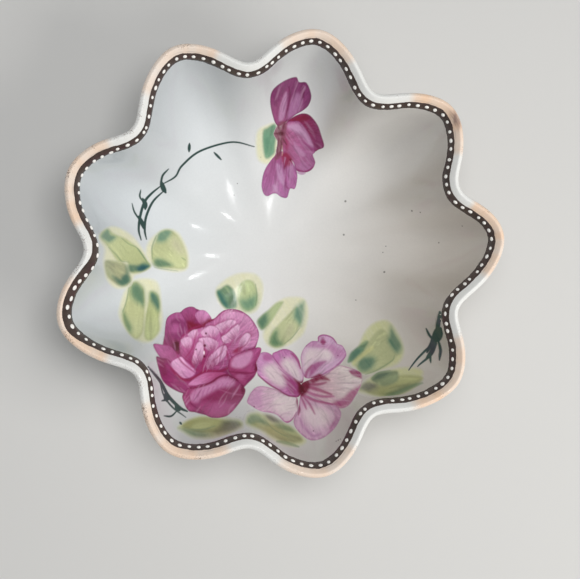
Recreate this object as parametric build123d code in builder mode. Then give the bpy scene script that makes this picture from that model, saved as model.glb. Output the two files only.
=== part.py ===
from build123d import *
import os
from math import asin, atan2, ceil, cos, degrees, floor, hypot, pi, radians, sin

# Nine-lobed porcelain serving bowl with a dark enamel border, raised white enamel beads and flowers
# painted in thin enamel. Millimetres, +Z up, origin at the middle of the foot ring's resting plane.

os.makedirs("parts", exist_ok=True)

# Overall size
HEIGHT = 68.0
RIM_RADIUS = 118.5  # mean radius of the lip's outermost edge

# Scalloped outline: a row of cosines of the lobe angle, broad at the crests and tight at the valleys
LOBES = 9
LOBE_SWING = 9.8  # crest to mean radius
SECOND_SHARE = 0.101
THIRD_SHARE = 0.035

# How far each crest and valley strays from the even spacing, in degrees, and from its radius, in mm:
# the rim was trimmed and finished by hand
CREST_TURN = [3.5, -0.5, 0.0, -1.5, -0.5, -2.0, 0.5, 0.5, 3.0]
CREST_REACH = [1.0, 1.0, -0.5, 1.0, -2.0, 1.0, -0.5, 0.0, -2.0]
VALLEY_TURN = [0.0, -0.5, -0.5, 0.5, -0.5, -0.5, 0.5, -0.5, 2.0]
VALLEY_REACH = [1.5, -2.5, 0.0, 0.0, 1.5, -1.5, 3.0, -1.0, -1.0]

# Lip and wall. The wall sections are the rim outline set in by an inset and then scaled about the axis
LIP_INSET = 8.0  # outermost edge to the top of the inner wall
OUTER_INSET = 4.5  # outermost edge to the top of the outer wall
LIP_RUN_ON = 200.0  # rise of the wall's line for each whole rim radius past its top

# (scale, inset, height) from the bottom up
INNER_PROFILE = [
    (0.07, LIP_INSET, 9.0),
    (0.25, LIP_INSET, 9.6),
    (0.45, LIP_INSET, 12.0),
    (0.62, LIP_INSET, 17.8),
    (0.76, LIP_INSET, 26.5),
    (0.87, LIP_INSET, 37.5),
    (0.945, LIP_INSET, 48.5),
    (0.985, LIP_INSET, 57.0),
    (1.0, LIP_INSET, 60.6),
    (1.0, 6.4, 63.4),
    (1.0, 5.0, 65.3),
    (1.0, 3.8, 66.7),
    (1.0, 2.4, HEIGHT),
]
OUTER_PROFILE = [
    (0.30, OUTER_INSET, 5.0),
    (0.446, OUTER_INSET, 8.2),
    (0.617, OUTER_INSET, 14.4),
    (0.759, OUTER_INSET, 23.7),
    (0.868, OUTER_INSET, 35.2),
    (0.943, OUTER_INSET, 46.6),
    (0.982, OUTER_INSET, 55.3),
    (1.0, 4.4, 60.5),
    (1.0, 3.2, 62.4),
    (1.0, 1.5, 64.0),
    (1.0, 0.3, 65.2),
    (1.0, 0.0, 66.2),
    (1.0, 0.5, 67.2),
    (1.0, 1.4, 67.85),
]

# Foot: a ring luted under the body, with its lower edges rounded
FOOT_INNER = 43.0
FOOT_OUTER = 50.0
FOOT_TOP = 9.0  # buried in the body above its underside
FOOT_TAPER = 1.0
FOOT_ROUNDING = 1.2

# Enamel: the painted and banded layers, the band's heights and the raised beads. Every enamel stands
# off the curved wall by a hair, so that its simpler curve never cuts into it
HAIR = 0.15
FILM = 0.25
FILM_LIFT = 0.5  # straight up, which clears even the steepest wall
FILM_HEIGHT = 0.4
PATCH_STEP = 2.5  # spacing of the slices that a painted film is made through, and of their points
PATCH_MARGIN = 2.0
BAND_LOW = 61.4
BAND_HIGH = 65.2
BEAD_HEIGHT = 63.4  # where the middle of each bead meets the wall
BEAD_INSET = 6.4
BEAD_SLOPE = 57.0  # the wall's slope there, in degrees
BEAD_RADIUS = 1.1  # half the width of a bead's base
BEAD_RISE = 0.7  # how far it stands off the wall
BEAD_STAND_OFF = 0.6  # base to wall: clears the band by a hair
BEADS_PER_LOBE = 17
PAINT_TOP = 60.5  # painted motifs stay below the band

# Motif outlines seen from above, as (x, y) points joined by smooth closed curves
ROSE = [
    (-64.0, -42.0), (-63.0, -38.0), (-56.0, -34.5), (-49.0, -31.5), (-42.0, -33.5), (-35.5, -39.0),
    (-29.5, -34.5), (-20.0, -33.3), (-11.0, -39.0), (-7.3, -47.0), (-10.0, -56.0), (-9.3, -66.0),
    (-12.0, -73.5), (-17.5, -79.0), (-20.0, -85.5), (-30.0, -94.0), (-42.0, -93.0), (-51.0, -90.5),
    (-54.5, -81.5), (-62.0, -76.5), (-68.0, -65.0), (-68.5, -55.0), (-63.5, -50.0),
]
BLOOM = [
    (17.5, -63.5), (13.8, -59.0), (7.5, -57.3), (0.5, -60.5), (-6.0, -59.5), (-9.8, -66.0),
    (-6.5, -75.5), (-13.0, -80.5), (-16.5, -86.0), (-8.0, -92.0), (4.0, -97.5), (10.5, -100.0),
    (20.0, -108.3), (31.0, -103.0), (36.5, -91.5), (45.0, -82.5), (51.0, -71.5), (41.5, -66.5),
    (44.0, -59.5), (39.5, -54.0), (32.0, -48.8), (22.5, -53.5), (19.0, -58.5),
]
HALF_FLOWER = [
    (2.5, 76.5), (-1.5, 85.0), (-1.5, 95.0), (6.0, 101.0), (14.0, 102.0), (21.0, 97.5),
    (21.5, 89.0), (22.0, 83.0), (28.0, 75.5), (31.0, 65.0), (26.5, 59.0), (24.5, 51.5),
    (16.5, 48.5), (15.5, 40.5), (9.5, 35.0), (1.5, 37.0), (-3.5, 36.8), (-5.3, 44.0),
    (-2.5, 54.0), (3.0, 62.0), (2.0, 70.0),
]
# Each leaf pair grows from a base point and is a pale patch with darker strokes over it
LEAVES = {
    "leaf_pair_far_left": [
        (-100.5, 9.0), (-96.0, 13.8), (-88.0, 13.0), (-80.0, 5.5), (-73.5, -7.5), (-80.5, -11.5),
        (-84.0, -17.5), (-92.0, -19.8), (-97.8, -12.0), (-98.5, 1.0),
    ],
    "leaf_left": [
        (-71.5, -8.0), (-74.8, 0.0), (-70.5, 12.5), (-62.0, 15.0), (-53.5, 9.0), (-49.7, -3.5),
        (-52.0, -9.5), (-62.0, -10.3),
    ],
    "leaf_lower_left": [
        (-85.5, -20.0), (-79.0, -14.0), (-71.0, -16.0), (-66.7, -26.0), (-66.7, -42.0),
        (-72.0, -50.0), (-81.5, -49.5), (-89.0, -42.0), (-90.3, -29.0),
    ],
    "leaf_pair_above_rose": [
        (-33.0, -22.0), (-27.0, -15.0), (-17.0, -12.0), (-7.5, -15.0), (-4.8, -24.0),
        (-8.5, -33.0), (-15.0, -36.0), (-26.0, -34.0), (-31.5, -28.0),
    ],
    "leaf_pair_middle": [
        (-8.3, -41.5), (-3.0, -35.5), (5.0, -28.0), (14.0, -26.0), (22.0, -29.0), (22.0, -40.0),
        (17.0, -51.0), (7.0, -56.3), (-2.5, -54.0), (-5.5, -47.0),
    ],
    "leaf_pair_right": [
        (44.5, -64.8), (50.0, -57.5), (57.0, -46.5), (66.0, -41.0), (73.5, -45.5), (77.3, -56.0),
        (72.0, -66.0), (60.0, -70.3), (50.5, -71.0),
    ],
    "leaf_pair_lower_right": [
        (48.0, -78.0), (57.0, -73.0), (68.0, -68.8), (79.0, -67.5), (85.0, -72.0), (76.0, -79.0),
        (63.0, -83.0), (52.5, -81.8),
    ],
    "leaf_below_rose": [
        (-57.0, -98.3), (-49.0, -94.0), (-36.0, -94.0), (-22.5, -95.5), (-23.0, -99.5),
        (-36.0, -103.0), (-49.0, -103.5),
    ],
    "leaf_below_bloom": [
        (-18.7, -96.0), (-12.0, -91.7), (-1.0, -94.0), (9.0, -101.0), (15.5, -108.5),
        (5.0, -110.0), (-8.0, -102.5),
    ],
    "leaf_behind_half_flower": [
        (2.0, 78.0), (-7.0, 74.0), (-9.2, 66.0), (-7.5, 57.0), (-1.5, 55.5), (4.0, 62.0),
    ],
}
# Thorny stems: each stroke is its width and the points of its middle line
STEMS = {
    "stem_upper_left": [
        (1.1, [(-10.5, 64.5), (-25.0, 67.1), (-43.0, 61.5), (-54.0, 52.0), (-58.0, 45.5), (-65.5, 41.0)]),
        (1.3, [(-62.0, 49.5), (-65.5, 45.5), (-66.0, 40.5), (-64.0, 37.0)]),
        (1.3, [(-66.5, 40.0), (-72.0, 35.5), (-76.0, 30.5), (-78.5, 22.0), (-79.3, 14.0), (-77.9, 8.0)]),
        (1.3, [(-64.5, 37.5), (-71.0, 31.0), (-75.0, 22.0), (-75.8, 14.0), (-74.8, 8.5)]),
        (1.1, [(-78.1, 37.5), (-78.6, 33.5), (-76.0, 30.0)]),
        (1.1, [(-83.2, 29.5), (-81.8, 24.5), (-78.5, 20.0), (-76.0, 18.5)]),
        (1.9, [(-49.5, 65.4), (-49.8, 60.6)]),
        (1.5, [(-34.5, 61.2), (-30.0, 57.0)]),
    ],
    "stem_lower_left": [
        (1.3, [(-74.0, -63.5), (-67.5, -72.0), (-62.5, -81.5), (-56.0, -88.5), (-51.5, -91.0)]),
        (1.0, [(-67.5, -73.0), (-65.0, -81.0), (-60.0, -88.0), (-52.5, -94.0)]),
        (1.3, [(-66.5, -83.2), (-61.5, -83.3)]),
        (1.1, [(-65.3, -91.2), (-61.0, -92.2), (-57.0, -89.5)]),
        (1.3, [(-56.3, -96.0), (-55.0, -97.2)]),
    ],
    "stem_right": [
        (1.3, [(92.4, -35.0), (92.1, -44.0), (91.5, -52.0), (87.0, -58.5), (78.0, -69.0)]),
        (2.2, [(93.6, -40.5), (93.4, -52.5)]),
        (1.1, [(87.8, -44.2), (89.6, -48.5), (92.0, -52.0)]),
        (1.2, [(92.5, -53.0), (90.0, -60.0), (83.0, -66.8)]),
        (1.1, [(89.9, -58.0), (89.7, -64.3)]),
        (1.1, [(93.2, -53.0), (94.1, -57.5), (93.4, -62.5)]),
    ],
}

POINTS_PER_LOBE = 10
HALF_LOBES = 2 * LOBES
STRAY_TURN = [turn for pair in zip(CREST_TURN, VALLEY_TURN) for turn in pair]
STRAY_REACH = [reach for pair in zip(CREST_REACH, VALLEY_REACH) for reach in pair]


def eased(values, station):
    """The value at a station, counted in half lobes, easing smoothly from one crest or valley to the next."""
    first = floor(station) % HALF_LOBES
    second = (first + 1) % HALF_LOBES
    weight = (1 - cos(pi * (station - floor(station)))) / 2
    return values[first] + (values[second] - values[first]) * weight


def rim_point(station):
    """A point of the lip's outermost edge. Station 0 is the first crest and each half lobe adds 1."""
    even_angle = radians(180 / LOBES * station)
    lobe_angle = LOBES * even_angle
    wave = cos(lobe_angle) - SECOND_SHARE * cos(2 * lobe_angle) + THIRD_SHARE * cos(3 * lobe_angle)
    radius = RIM_RADIUS + LOBE_SWING * wave + eased(STRAY_REACH, station)
    angle = even_angle + radians(eased(STRAY_TURN, station))
    return radius * cos(angle), radius * sin(angle)


def inset_point(station, inset, scale=1.0):
    """The rim point moved square to the rim by the inset, towards the middle, then scaled about the axis."""
    step = 0.001
    x, y = rim_point(station)
    before_x, before_y = rim_point(station - step)
    after_x, after_y = rim_point(station + step)
    along_x, along_y = after_x - before_x, after_y - before_y
    length = hypot(along_x, along_y)
    return scale * (x - inset * along_y / length), scale * (y + inset * along_x / length)


def lobed_section(scale, inset, height):
    """A flat lobed face at the given height."""
    count = LOBES * POINTS_PER_LOBE
    points = [inset_point(HALF_LOBES * i / count, inset, scale) for i in range(count)]
    with BuildSketch(Plane.XY.offset(height)) as section:
        with BuildLine():
            Spline(points, periodic=True)
        make_face()
    return section.sketch


def even_stations(count, inset):
    """Stations that divide the inset outline into steps of equal length."""
    fine = 40 * HALF_LOBES
    points = [inset_point(HALF_LOBES * i / fine, inset) for i in range(fine + 1)]
    lengths = [0.0]
    for (x0, y0), (x1, y1) in zip(points, points[1:]):
        lengths.append(lengths[-1] + hypot(x1 - x0, y1 - y0))
    stations = []
    for i in range(count):
        goal = lengths[-1] * i / count
        after = next(k for k in range(1, fine + 1) if lengths[k] > goal)
        part_way = (goal - lengths[after - 1]) / (lengths[after] - lengths[after - 1])
        stations.append(HALF_LOBES * (after - 1 + part_way) / fine)
    return stations


def raised(profile, gap):
    """The inner profile moved off the wall, up and inwards, by a gap."""
    return [(scale * (1 - gap / RIM_RADIUS), inset, height + gap) for scale, inset, height in profile]


def wall_outline_radius(angle):
    """The radius of the inner wall's top outline at an angle about the axis."""
    low, high = 0.0, float(HALF_LOBES)
    offset = radians(-180 / LOBES)  # the search starts half a lobe before the first crest
    goal = (angle - offset) % (2 * pi)
    for _ in range(30):
        middle = (low + high) / 2
        x, y = inset_point(middle - 1, LIP_INSET)
        if (atan2(y, x) - offset) % (2 * pi) < goal:
            low = middle
        else:
            high = middle
    return hypot(*inset_point(low - 1, LIP_INSET))


def wall_height(x, y):
    """The height of the inner wall above a point, read off the inner profile by its scale there."""
    scale = hypot(x, y) / wall_outline_radius(atan2(y, x))
    rows = [row for row in smoothed(INNER_PROFILE) if row[1] == LIP_INSET]
    rows.append((rows[-1][0] + 1, LIP_INSET, rows[-1][2] + LIP_RUN_ON))
    for (low_scale, _, low_height), (high_scale, _, high_height) in zip(rows, rows[1:]):
        if scale <= high_scale:
            share = max(0.0, (scale - low_scale) / (high_scale - low_scale))
            return low_height + share * (high_height - low_height)
    return rows[-1][2]


def smoothed(rows):
    """The rows with one more between each two, on the smooth curve (Catmull-Rom) through them all."""
    padded = [rows[0], *rows, rows[-1]]
    result = []
    for before, first, second, after in zip(padded, padded[1:], padded[2:], padded[3:]):
        middle = [(9 * (b + c) - a - d) / 16 for a, b, c, d in zip(before, first, second, after)]
        result += [first, tuple(middle)]
    return [*result, rows[-1]]


def lobed_sections(rows):
    return [lobed_section(*row) for row in smoothed(rows)]


def bead_plane(station):
    """The plane of a bead's base: on the band, facing squarely off the wall."""
    x, y = inset_point(station, BEAD_INSET)
    inner_x, inner_y = inset_point(station, BEAD_INSET + 1)
    slope = radians(BEAD_SLOPE)
    off_wall = Vector((inner_x - x) * sin(slope), (inner_y - y) * sin(slope), cos(slope))
    return Plane(Vector(x, y, BEAD_HEIGHT) + off_wall * BEAD_STAND_OFF, z_dir=off_wall)


def closed_outline(points):
    """A flat face inside one smooth closed curve."""
    with BuildSketch() as outline:
        with BuildLine():
            Spline(points, periodic=True)
        make_face()
    return outline.sketch


def wall_slice(x, across):
    """A thin upright strip on the inner wall, in the plane at x, through its heights at each y across."""
    low = [(y, wall_height(x, y) + FILM_LIFT) for y in across]
    high = [(y, height + FILM_HEIGHT) for y, height in low]
    with BuildSketch(Plane.YZ.offset(x)) as strip:
        with BuildLine():
            Spline(low)
            Line(low[-1], high[-1])
            Spline(high)
            Line(high[0], low[0])
        make_face()
    return strip.sketch


def painted_film(outline):
    """A thin solid over the part of the inner wall that lies inside an outline seen from above."""
    box = outline.bounding_box()
    columns = ceil((box.size.X + 2 * PATCH_MARGIN) / PATCH_STEP)
    rows = ceil((box.size.Y + 2 * PATCH_MARGIN) / PATCH_STEP)
    across = [box.min.Y - PATCH_MARGIN + row * PATCH_STEP for row in range(rows + 1)]
    along = [box.min.X - PATCH_MARGIN + column * PATCH_STEP for column in range(columns + 1)]
    with BuildPart() as film:
        loft(sections=[wall_slice(x, across) for x in along], ruled=True)
        extrude(outline, amount=PAINT_TOP, mode=Mode.INTERSECT)
    return film


def strokes(lines):
    """A flat face made of brush strokes, each of its own width."""
    with BuildSketch() as painted:
        for width, points in lines:
            with BuildLine() as middle:
                Spline(points) if len(points) > 2 else Line(*points)
            trace(middle.line, line_width=width)
    return painted.sketch


def save(piece, label):
    piece.part.label = label
    export_step(piece.part, f"parts/{label}.step")
    print(label, len(piece.part.solids()), round(piece.part.volume, 1))


# Body: fluted wall, flat floor and everted lip, as one shell up the outside, over the lip and down inside
with BuildPart() as bowl_body:
    loft(sections=lobed_sections(OUTER_PROFILE + INNER_PROFILE[::-1]), ruled=True)
save(bowl_body, "bowl_body")

# Foot ring, trimmed to the body's underside
with BuildPart() as foot_ring:
    with BuildSketch(Plane.XZ) as foot_profile:
        with BuildLine():
            Polyline(
                (FOOT_INNER + FOOT_TAPER, 0),
                (FOOT_OUTER - FOOT_TAPER, 0),
                (FOOT_OUTER, FOOT_TOP),
                (FOOT_INNER, FOOT_TOP),
                close=True,
            )
        make_face()
        fillet(foot_profile.vertices().group_by(Axis.Y)[0], FOOT_ROUNDING)
    revolve(axis=Axis.Z)
    add(bowl_body.part, mode=Mode.SUBTRACT)
save(foot_ring, "foot_ring")

# Dark enamel band on the lip's inner slope: what lies between two hollows, one a film smaller
band_rows = [row for row in INNER_PROFILE if row[0] == 1.0]
with BuildPart() as rim_band:
    loft(sections=lobed_sections(raised(band_rows, HAIR)), ruled=True)
    loft(sections=lobed_sections(raised(band_rows, HAIR + FILM)), ruled=True, mode=Mode.SUBTRACT)
    with BuildSketch(Plane.XY.offset(BAND_LOW)):
        Circle(RIM_RADIUS + 2 * LOBE_SWING)
    extrude(amount=BAND_HIGH - BAND_LOW, mode=Mode.INTERSECT)
save(rim_band, "rim_band")

# Raised white beads: low domes of enamel in a row along the band, one node for each lobe's share.
# Each is the cap of a ball above its flat base
bead_ball = (BEAD_RADIUS**2 + BEAD_RISE**2) / (2 * BEAD_RISE)
base_latitude = degrees(asin((bead_ball - BEAD_RISE) / bead_ball))
bead_stations = even_stations(LOBES * BEADS_PER_LOBE, BEAD_INSET)
for lobe in range(LOBES):
    first = lobe * BEADS_PER_LOBE
    with BuildPart() as beads:
        with Locations([bead_plane(station) for station in bead_stations[first : first + BEADS_PER_LOBE]]):
            Sphere(bead_ball, arc_size1=base_latitude, align=(Align.CENTER, Align.CENTER, Align.MIN))
    save(beads, f"beads_{lobe + 1}")

# Painted enamels. Flowers lie over leaves, and leaves over stems, so each stops where the next starts
taken = []
motifs = {"rose": closed_outline(ROSE), "pale_bloom": closed_outline(BLOOM)}
motifs["half_flower"] = closed_outline(HALF_FLOWER)
motifs.update({label: closed_outline(points) for label, points in LEAVES.items()})
motifs.update({label: strokes(lines) for label, lines in STEMS.items()})
for label, outline in motifs.items():
    with BuildSketch() as free_face:
        add(outline)
        for face in taken:
            add(face, mode=Mode.SUBTRACT)
    taken.append(outline)
    save(painted_film(free_face.sketch), label)
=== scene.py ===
from math import cos, pi, radians, sin

import bpy
import numpy as np
from mathutils import Matrix, Vector


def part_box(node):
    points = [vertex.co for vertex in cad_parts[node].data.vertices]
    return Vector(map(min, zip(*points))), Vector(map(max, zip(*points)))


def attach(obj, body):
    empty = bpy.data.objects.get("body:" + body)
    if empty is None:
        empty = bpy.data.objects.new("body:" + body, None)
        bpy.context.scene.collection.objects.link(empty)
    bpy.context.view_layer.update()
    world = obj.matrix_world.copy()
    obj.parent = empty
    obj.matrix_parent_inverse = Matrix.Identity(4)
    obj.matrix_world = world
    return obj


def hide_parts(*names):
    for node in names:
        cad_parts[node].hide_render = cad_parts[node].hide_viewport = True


# Hand-painted porcelain serving bowl. All shapes are worked out in millimetres of the design, from the
# same outline and profile as the CAD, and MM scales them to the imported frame.
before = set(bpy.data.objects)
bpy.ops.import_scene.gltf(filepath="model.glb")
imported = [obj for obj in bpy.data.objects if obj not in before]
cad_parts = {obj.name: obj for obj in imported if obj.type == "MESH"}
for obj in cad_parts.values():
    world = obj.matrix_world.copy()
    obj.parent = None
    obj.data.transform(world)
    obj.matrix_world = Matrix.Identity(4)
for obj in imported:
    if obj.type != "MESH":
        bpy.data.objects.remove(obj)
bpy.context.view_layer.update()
HEIGHT = 68.0
MM = float(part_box("bowl_body")[1][2]) / HEIGHT

# ---------------------------------------------------------------- outline and profile
# A station counts half lobes round the rim: even ones are crests and odd ones are valleys
LOBES = 9
HALF_LOBES = 2 * LOBES
RIM_RADIUS = 118.5
LOBE_SWING = 9.8
SECOND_SHARE = 0.101
THIRD_SHARE = 0.035
CREST_TURN = [3.5, -0.5, 0.0, -1.5, -0.5, -2.0, 0.5, 0.5, 3.0]
CREST_REACH = [1.0, 1.0, -0.5, 1.0, -2.0, 1.0, -0.5, 0.0, -2.0]
VALLEY_TURN = [0.0, -0.5, -0.5, 0.5, -0.5, -0.5, 0.5, -0.5, 2.0]
VALLEY_REACH = [1.5, -2.5, 0.0, 0.0, 1.5, -1.5, 3.0, -1.0, -1.0]
STRAY_TURN = np.array([turn for pair in zip(CREST_TURN, VALLEY_TURN) for turn in pair])
STRAY_REACH = np.array([reach for pair in zip(CREST_REACH, VALLEY_REACH) for reach in pair])
LIP_INSET = 8.0
OUTER_INSET = 4.5
# Rows of (scale about the axis, inset from the rim, height)
INNER_PROFILE = [
    (0.07, LIP_INSET, 9.0), (0.25, LIP_INSET, 9.6), (0.45, LIP_INSET, 12.0), (0.62, LIP_INSET, 17.8),
    (0.76, LIP_INSET, 26.5), (0.87, LIP_INSET, 37.5), (0.945, LIP_INSET, 48.5), (0.985, LIP_INSET, 57.0),
    (1.0, LIP_INSET, 60.6), (1.0, 6.4, 63.4), (1.0, 5.0, 65.3), (1.0, 3.8, 66.7), (1.0, 2.4, HEIGHT),
]
OUTER_PROFILE = [
    (0.30, OUTER_INSET, 5.0), (0.446, OUTER_INSET, 8.2), (0.617, OUTER_INSET, 14.4),
    (0.759, OUTER_INSET, 23.7), (0.868, OUTER_INSET, 35.2), (0.943, OUTER_INSET, 46.6),
    (0.982, OUTER_INSET, 55.3), (1.0, 4.4, 60.5), (1.0, 3.2, 62.4), (1.0, 1.5, 64.0),
    (1.0, 0.3, 65.2), (1.0, 0.0, 66.2), (1.0, 0.5, 67.2), (1.0, 1.4, 67.85),
]
PROFILE_HALVINGS = 3
TOP_SCALE = 0.999
OUTLINE_SAMPLES = 3600
CURVE_STEPS = 8


def eased(values, station):
    """The value at each station, easing from one crest or valley to the next."""
    first = np.floor(station).astype(int)
    weight = (1 - np.cos(pi * (station - first))) / 2
    low, high = values[first % HALF_LOBES], values[(first + 1) % HALF_LOBES]
    return low + (high - low) * weight


def rim_point(station):
    even_angle = radians(180 / LOBES) * station
    lobe_angle = LOBES * even_angle
    wave = np.cos(lobe_angle) - SECOND_SHARE * np.cos(2 * lobe_angle) + THIRD_SHARE * np.cos(3 * lobe_angle)
    radius = RIM_RADIUS + LOBE_SWING * wave + eased(STRAY_REACH, station)
    angle = even_angle + np.radians(eased(STRAY_TURN, station))
    return np.stack([radius * np.cos(angle), radius * np.sin(angle)], -1)


def inset_point(station, inset, scale=1.0):
    """Rim points moved square to the rim by the inset, towards the middle, then scaled about the axis."""
    step = 0.001
    along = rim_point(station + step) - rim_point(station - step)
    along /= np.hypot(along[..., 0], along[..., 1])[..., None]
    inward = np.stack([-along[..., 1], along[..., 0]], -1)
    return scale * (rim_point(station) + np.asarray(inset)[..., None] * inward)


def smoothed(rows):
    """The rows with more between each two, on the smooth curve through them all."""
    for _ in range(PROFILE_HALVINGS):
        padded = [rows[0], *rows, rows[-1]]
        result = []
        for before, first, second, after in zip(padded, padded[1:], padded[2:], padded[3:]):
            middle = [(9 * (b + c) - a - d) / 16 for a, b, c, d in zip(before, first, second, after)]
            result += [first, tuple(middle)]
        rows = [*result, rows[-1]]
    return rows


inner_rows = np.array(smoothed(INNER_PROFILE))
wall_rows = inner_rows[inner_rows[:, 1] >= LIP_INSET - 0.01]
lip_rows = inner_rows[inner_rows[:, 0] > TOP_SCALE]
fine_outline = inset_point(np.linspace(0, HALF_LOBES, OUTLINE_SAMPLES + 1)[:-1], LIP_INSET)
outline_angle = np.unwrap(np.arctan2(fine_outline[:, 1], fine_outline[:, 0]))
outline_radius = np.hypot(fine_outline[:, 0], fine_outline[:, 1])


def outline_share(x, y):
    """How far out points are: 0 on the axis and 1 where the wall meets the lip."""
    return np.hypot(x, y) / np.interp(np.arctan2(y, x), outline_angle, outline_radius, period=2 * pi)


def wall_height(x, y):
    """The height of the inner wall at points seen from above."""
    return np.interp(outline_share(x, y), wall_rows[:, 0], wall_rows[:, 2])


def smooth_spans(*corners):
    """Points along the smooth (Catmull-Rom) spans from each second corner to its third."""
    t = np.linspace(0, 1, CURVE_STEPS, endpoint=False)[None, :, None]
    a, b, c, d = (points[:, None, :] for points in corners)
    curve = b + 0.5 * t * (c - a + t * (2 * a - 5 * b + 4 * c - d + t * (3 * (b - c) + d - a)))
    return curve.reshape(-1, 2)


def smooth_closed(points):
    points = np.array(points, float)
    return smooth_spans(np.roll(points, 1, 0), points, np.roll(points, -1, 0), np.roll(points, -2, 0))


def smooth_open(points):
    points = np.array(points, float)
    padded = np.vstack([2 * points[0] - points[1], points, 2 * points[-1] - points[-2]])
    return np.vstack([smooth_spans(padded[:-3], padded[1:-2], padded[2:-1], padded[3:]), points[-1]])


def off_segment(x, y, start, end):
    """Offsets of points from the nearest place on a segment, and how far along it that place is."""
    dx, dy = end[0] - start[0], end[1] - start[1]
    along = ((x - start[0]) * dx + (y - start[1]) * dy) / max(dx * dx + dy * dy, 1e-9)
    share = np.clip(along, 0, 1)
    return x - start[0] - share * dx, y - start[1] - share * dy, share


def smoothstep(low, high, value):
    t = np.clip((value - low) / (high - low), 0, 1)
    return t * t * (3 - 2 * t)


def ripple(u, seed, waves=6):
    """A smooth random wave, from about -1 to 1, along u."""
    random = np.random.default_rng(seed)
    total = np.zeros_like(u)
    for k in range(waves):
        pitch = (0.6 + 1.1 * k) * random.uniform(0.8, 1.2)
        total += np.sin(u * pitch + random.uniform(0, 2 * pi)) / (1 + 0.5 * k)
    return total / 2.2


def linear(colour):
    """Scene-linear values of a colour given as 0 to 255 sRGB."""
    value = np.asarray(colour, float) / 255
    return np.where(value <= 0.04045, value / 12.92, ((value + 0.055) / 1.055) ** 2.4)


# ---------------------------------------------------------------- porcelain colour
# The warm colour is painted shade on the right-hand walls, and the greying is painted shade towards the rim.
PORCELAIN_SHADE_WARM = (214, 206, 195)
PORCELAIN_COOL = (213, 219, 222)
PORCELAIN_PLAIN = (226, 226, 224)
RIM_PAINTED_SHADE = 0.17


def porcelain_colour(x, y):
    """The porcelain's colour: plain in the middle, cooler to the left, with painted shade warmer to the right
    and greyer at the rim.
    """
    # Painted shade: warmer and darker on the right, and greyer towards the rim.
    side = np.clip((x - 0.35 * y) / 110.0, -1, 1)[..., None]
    plain, shade_warm, cool = linear(PORCELAIN_PLAIN), linear(PORCELAIN_SHADE_WARM), linear(PORCELAIN_COOL)
    tint = plain + np.clip(side, 0, 1) * (shade_warm - plain) + np.clip(-side, 0, 1) * (cool - plain)
    return tint * (1 - RIM_PAINTED_SHADE * smoothstep(0.6, 0.97, outline_share(x, y)))[..., None]


# ---------------------------------------------------------------- meshes
def new_object(name, vertices, faces, colours, cover=None, smooth=None):
    """A mesh with its colours as the attribute that the materials read, and the cover as their alpha."""
    mesh = bpy.data.meshes.new(name)
    mesh.from_pydata((np.asarray(vertices) * MM).tolist(), [], [tuple(map(int, face)) for face in faces])
    alpha = np.zeros(len(vertices)) if cover is None else cover
    paint = mesh.color_attributes.new("paint", "FLOAT_COLOR", "POINT")
    paint.data.foreach_set("color", np.column_stack([colours, alpha]).astype(np.float32).ravel())
    flags = np.ones(len(mesh.polygons), bool) if smooth is None else np.asarray(smooth, bool)
    mesh.polygons.foreach_set("use_smooth", flags)
    mesh.update()
    piece = bpy.data.objects.new(name, mesh)
    bpy.context.scene.collection.objects.link(piece)
    return piece


def place(piece, material, slot, *nodes):
    piece.data.materials.append(material)
    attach(piece, "root")
    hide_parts(*nodes)


def ring_faces(rows, columns):
    """Quads between rows of points that each go all the way round."""
    faces = []
    for row in range(rows - 1):
        low, high = row * columns, (row + 1) * columns
        for i in range(columns):
            after = (i + 1) % columns
            faces.append((low + i, low + after, high + after, high + i))
    return faces


# ---------------------------------------------------------------- painting
FILM_SUNK = -0.015
FILM_RISE = 0.055
FILM_DEPTH = 0.05
FAINTEST_COVER = 0.01


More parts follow.
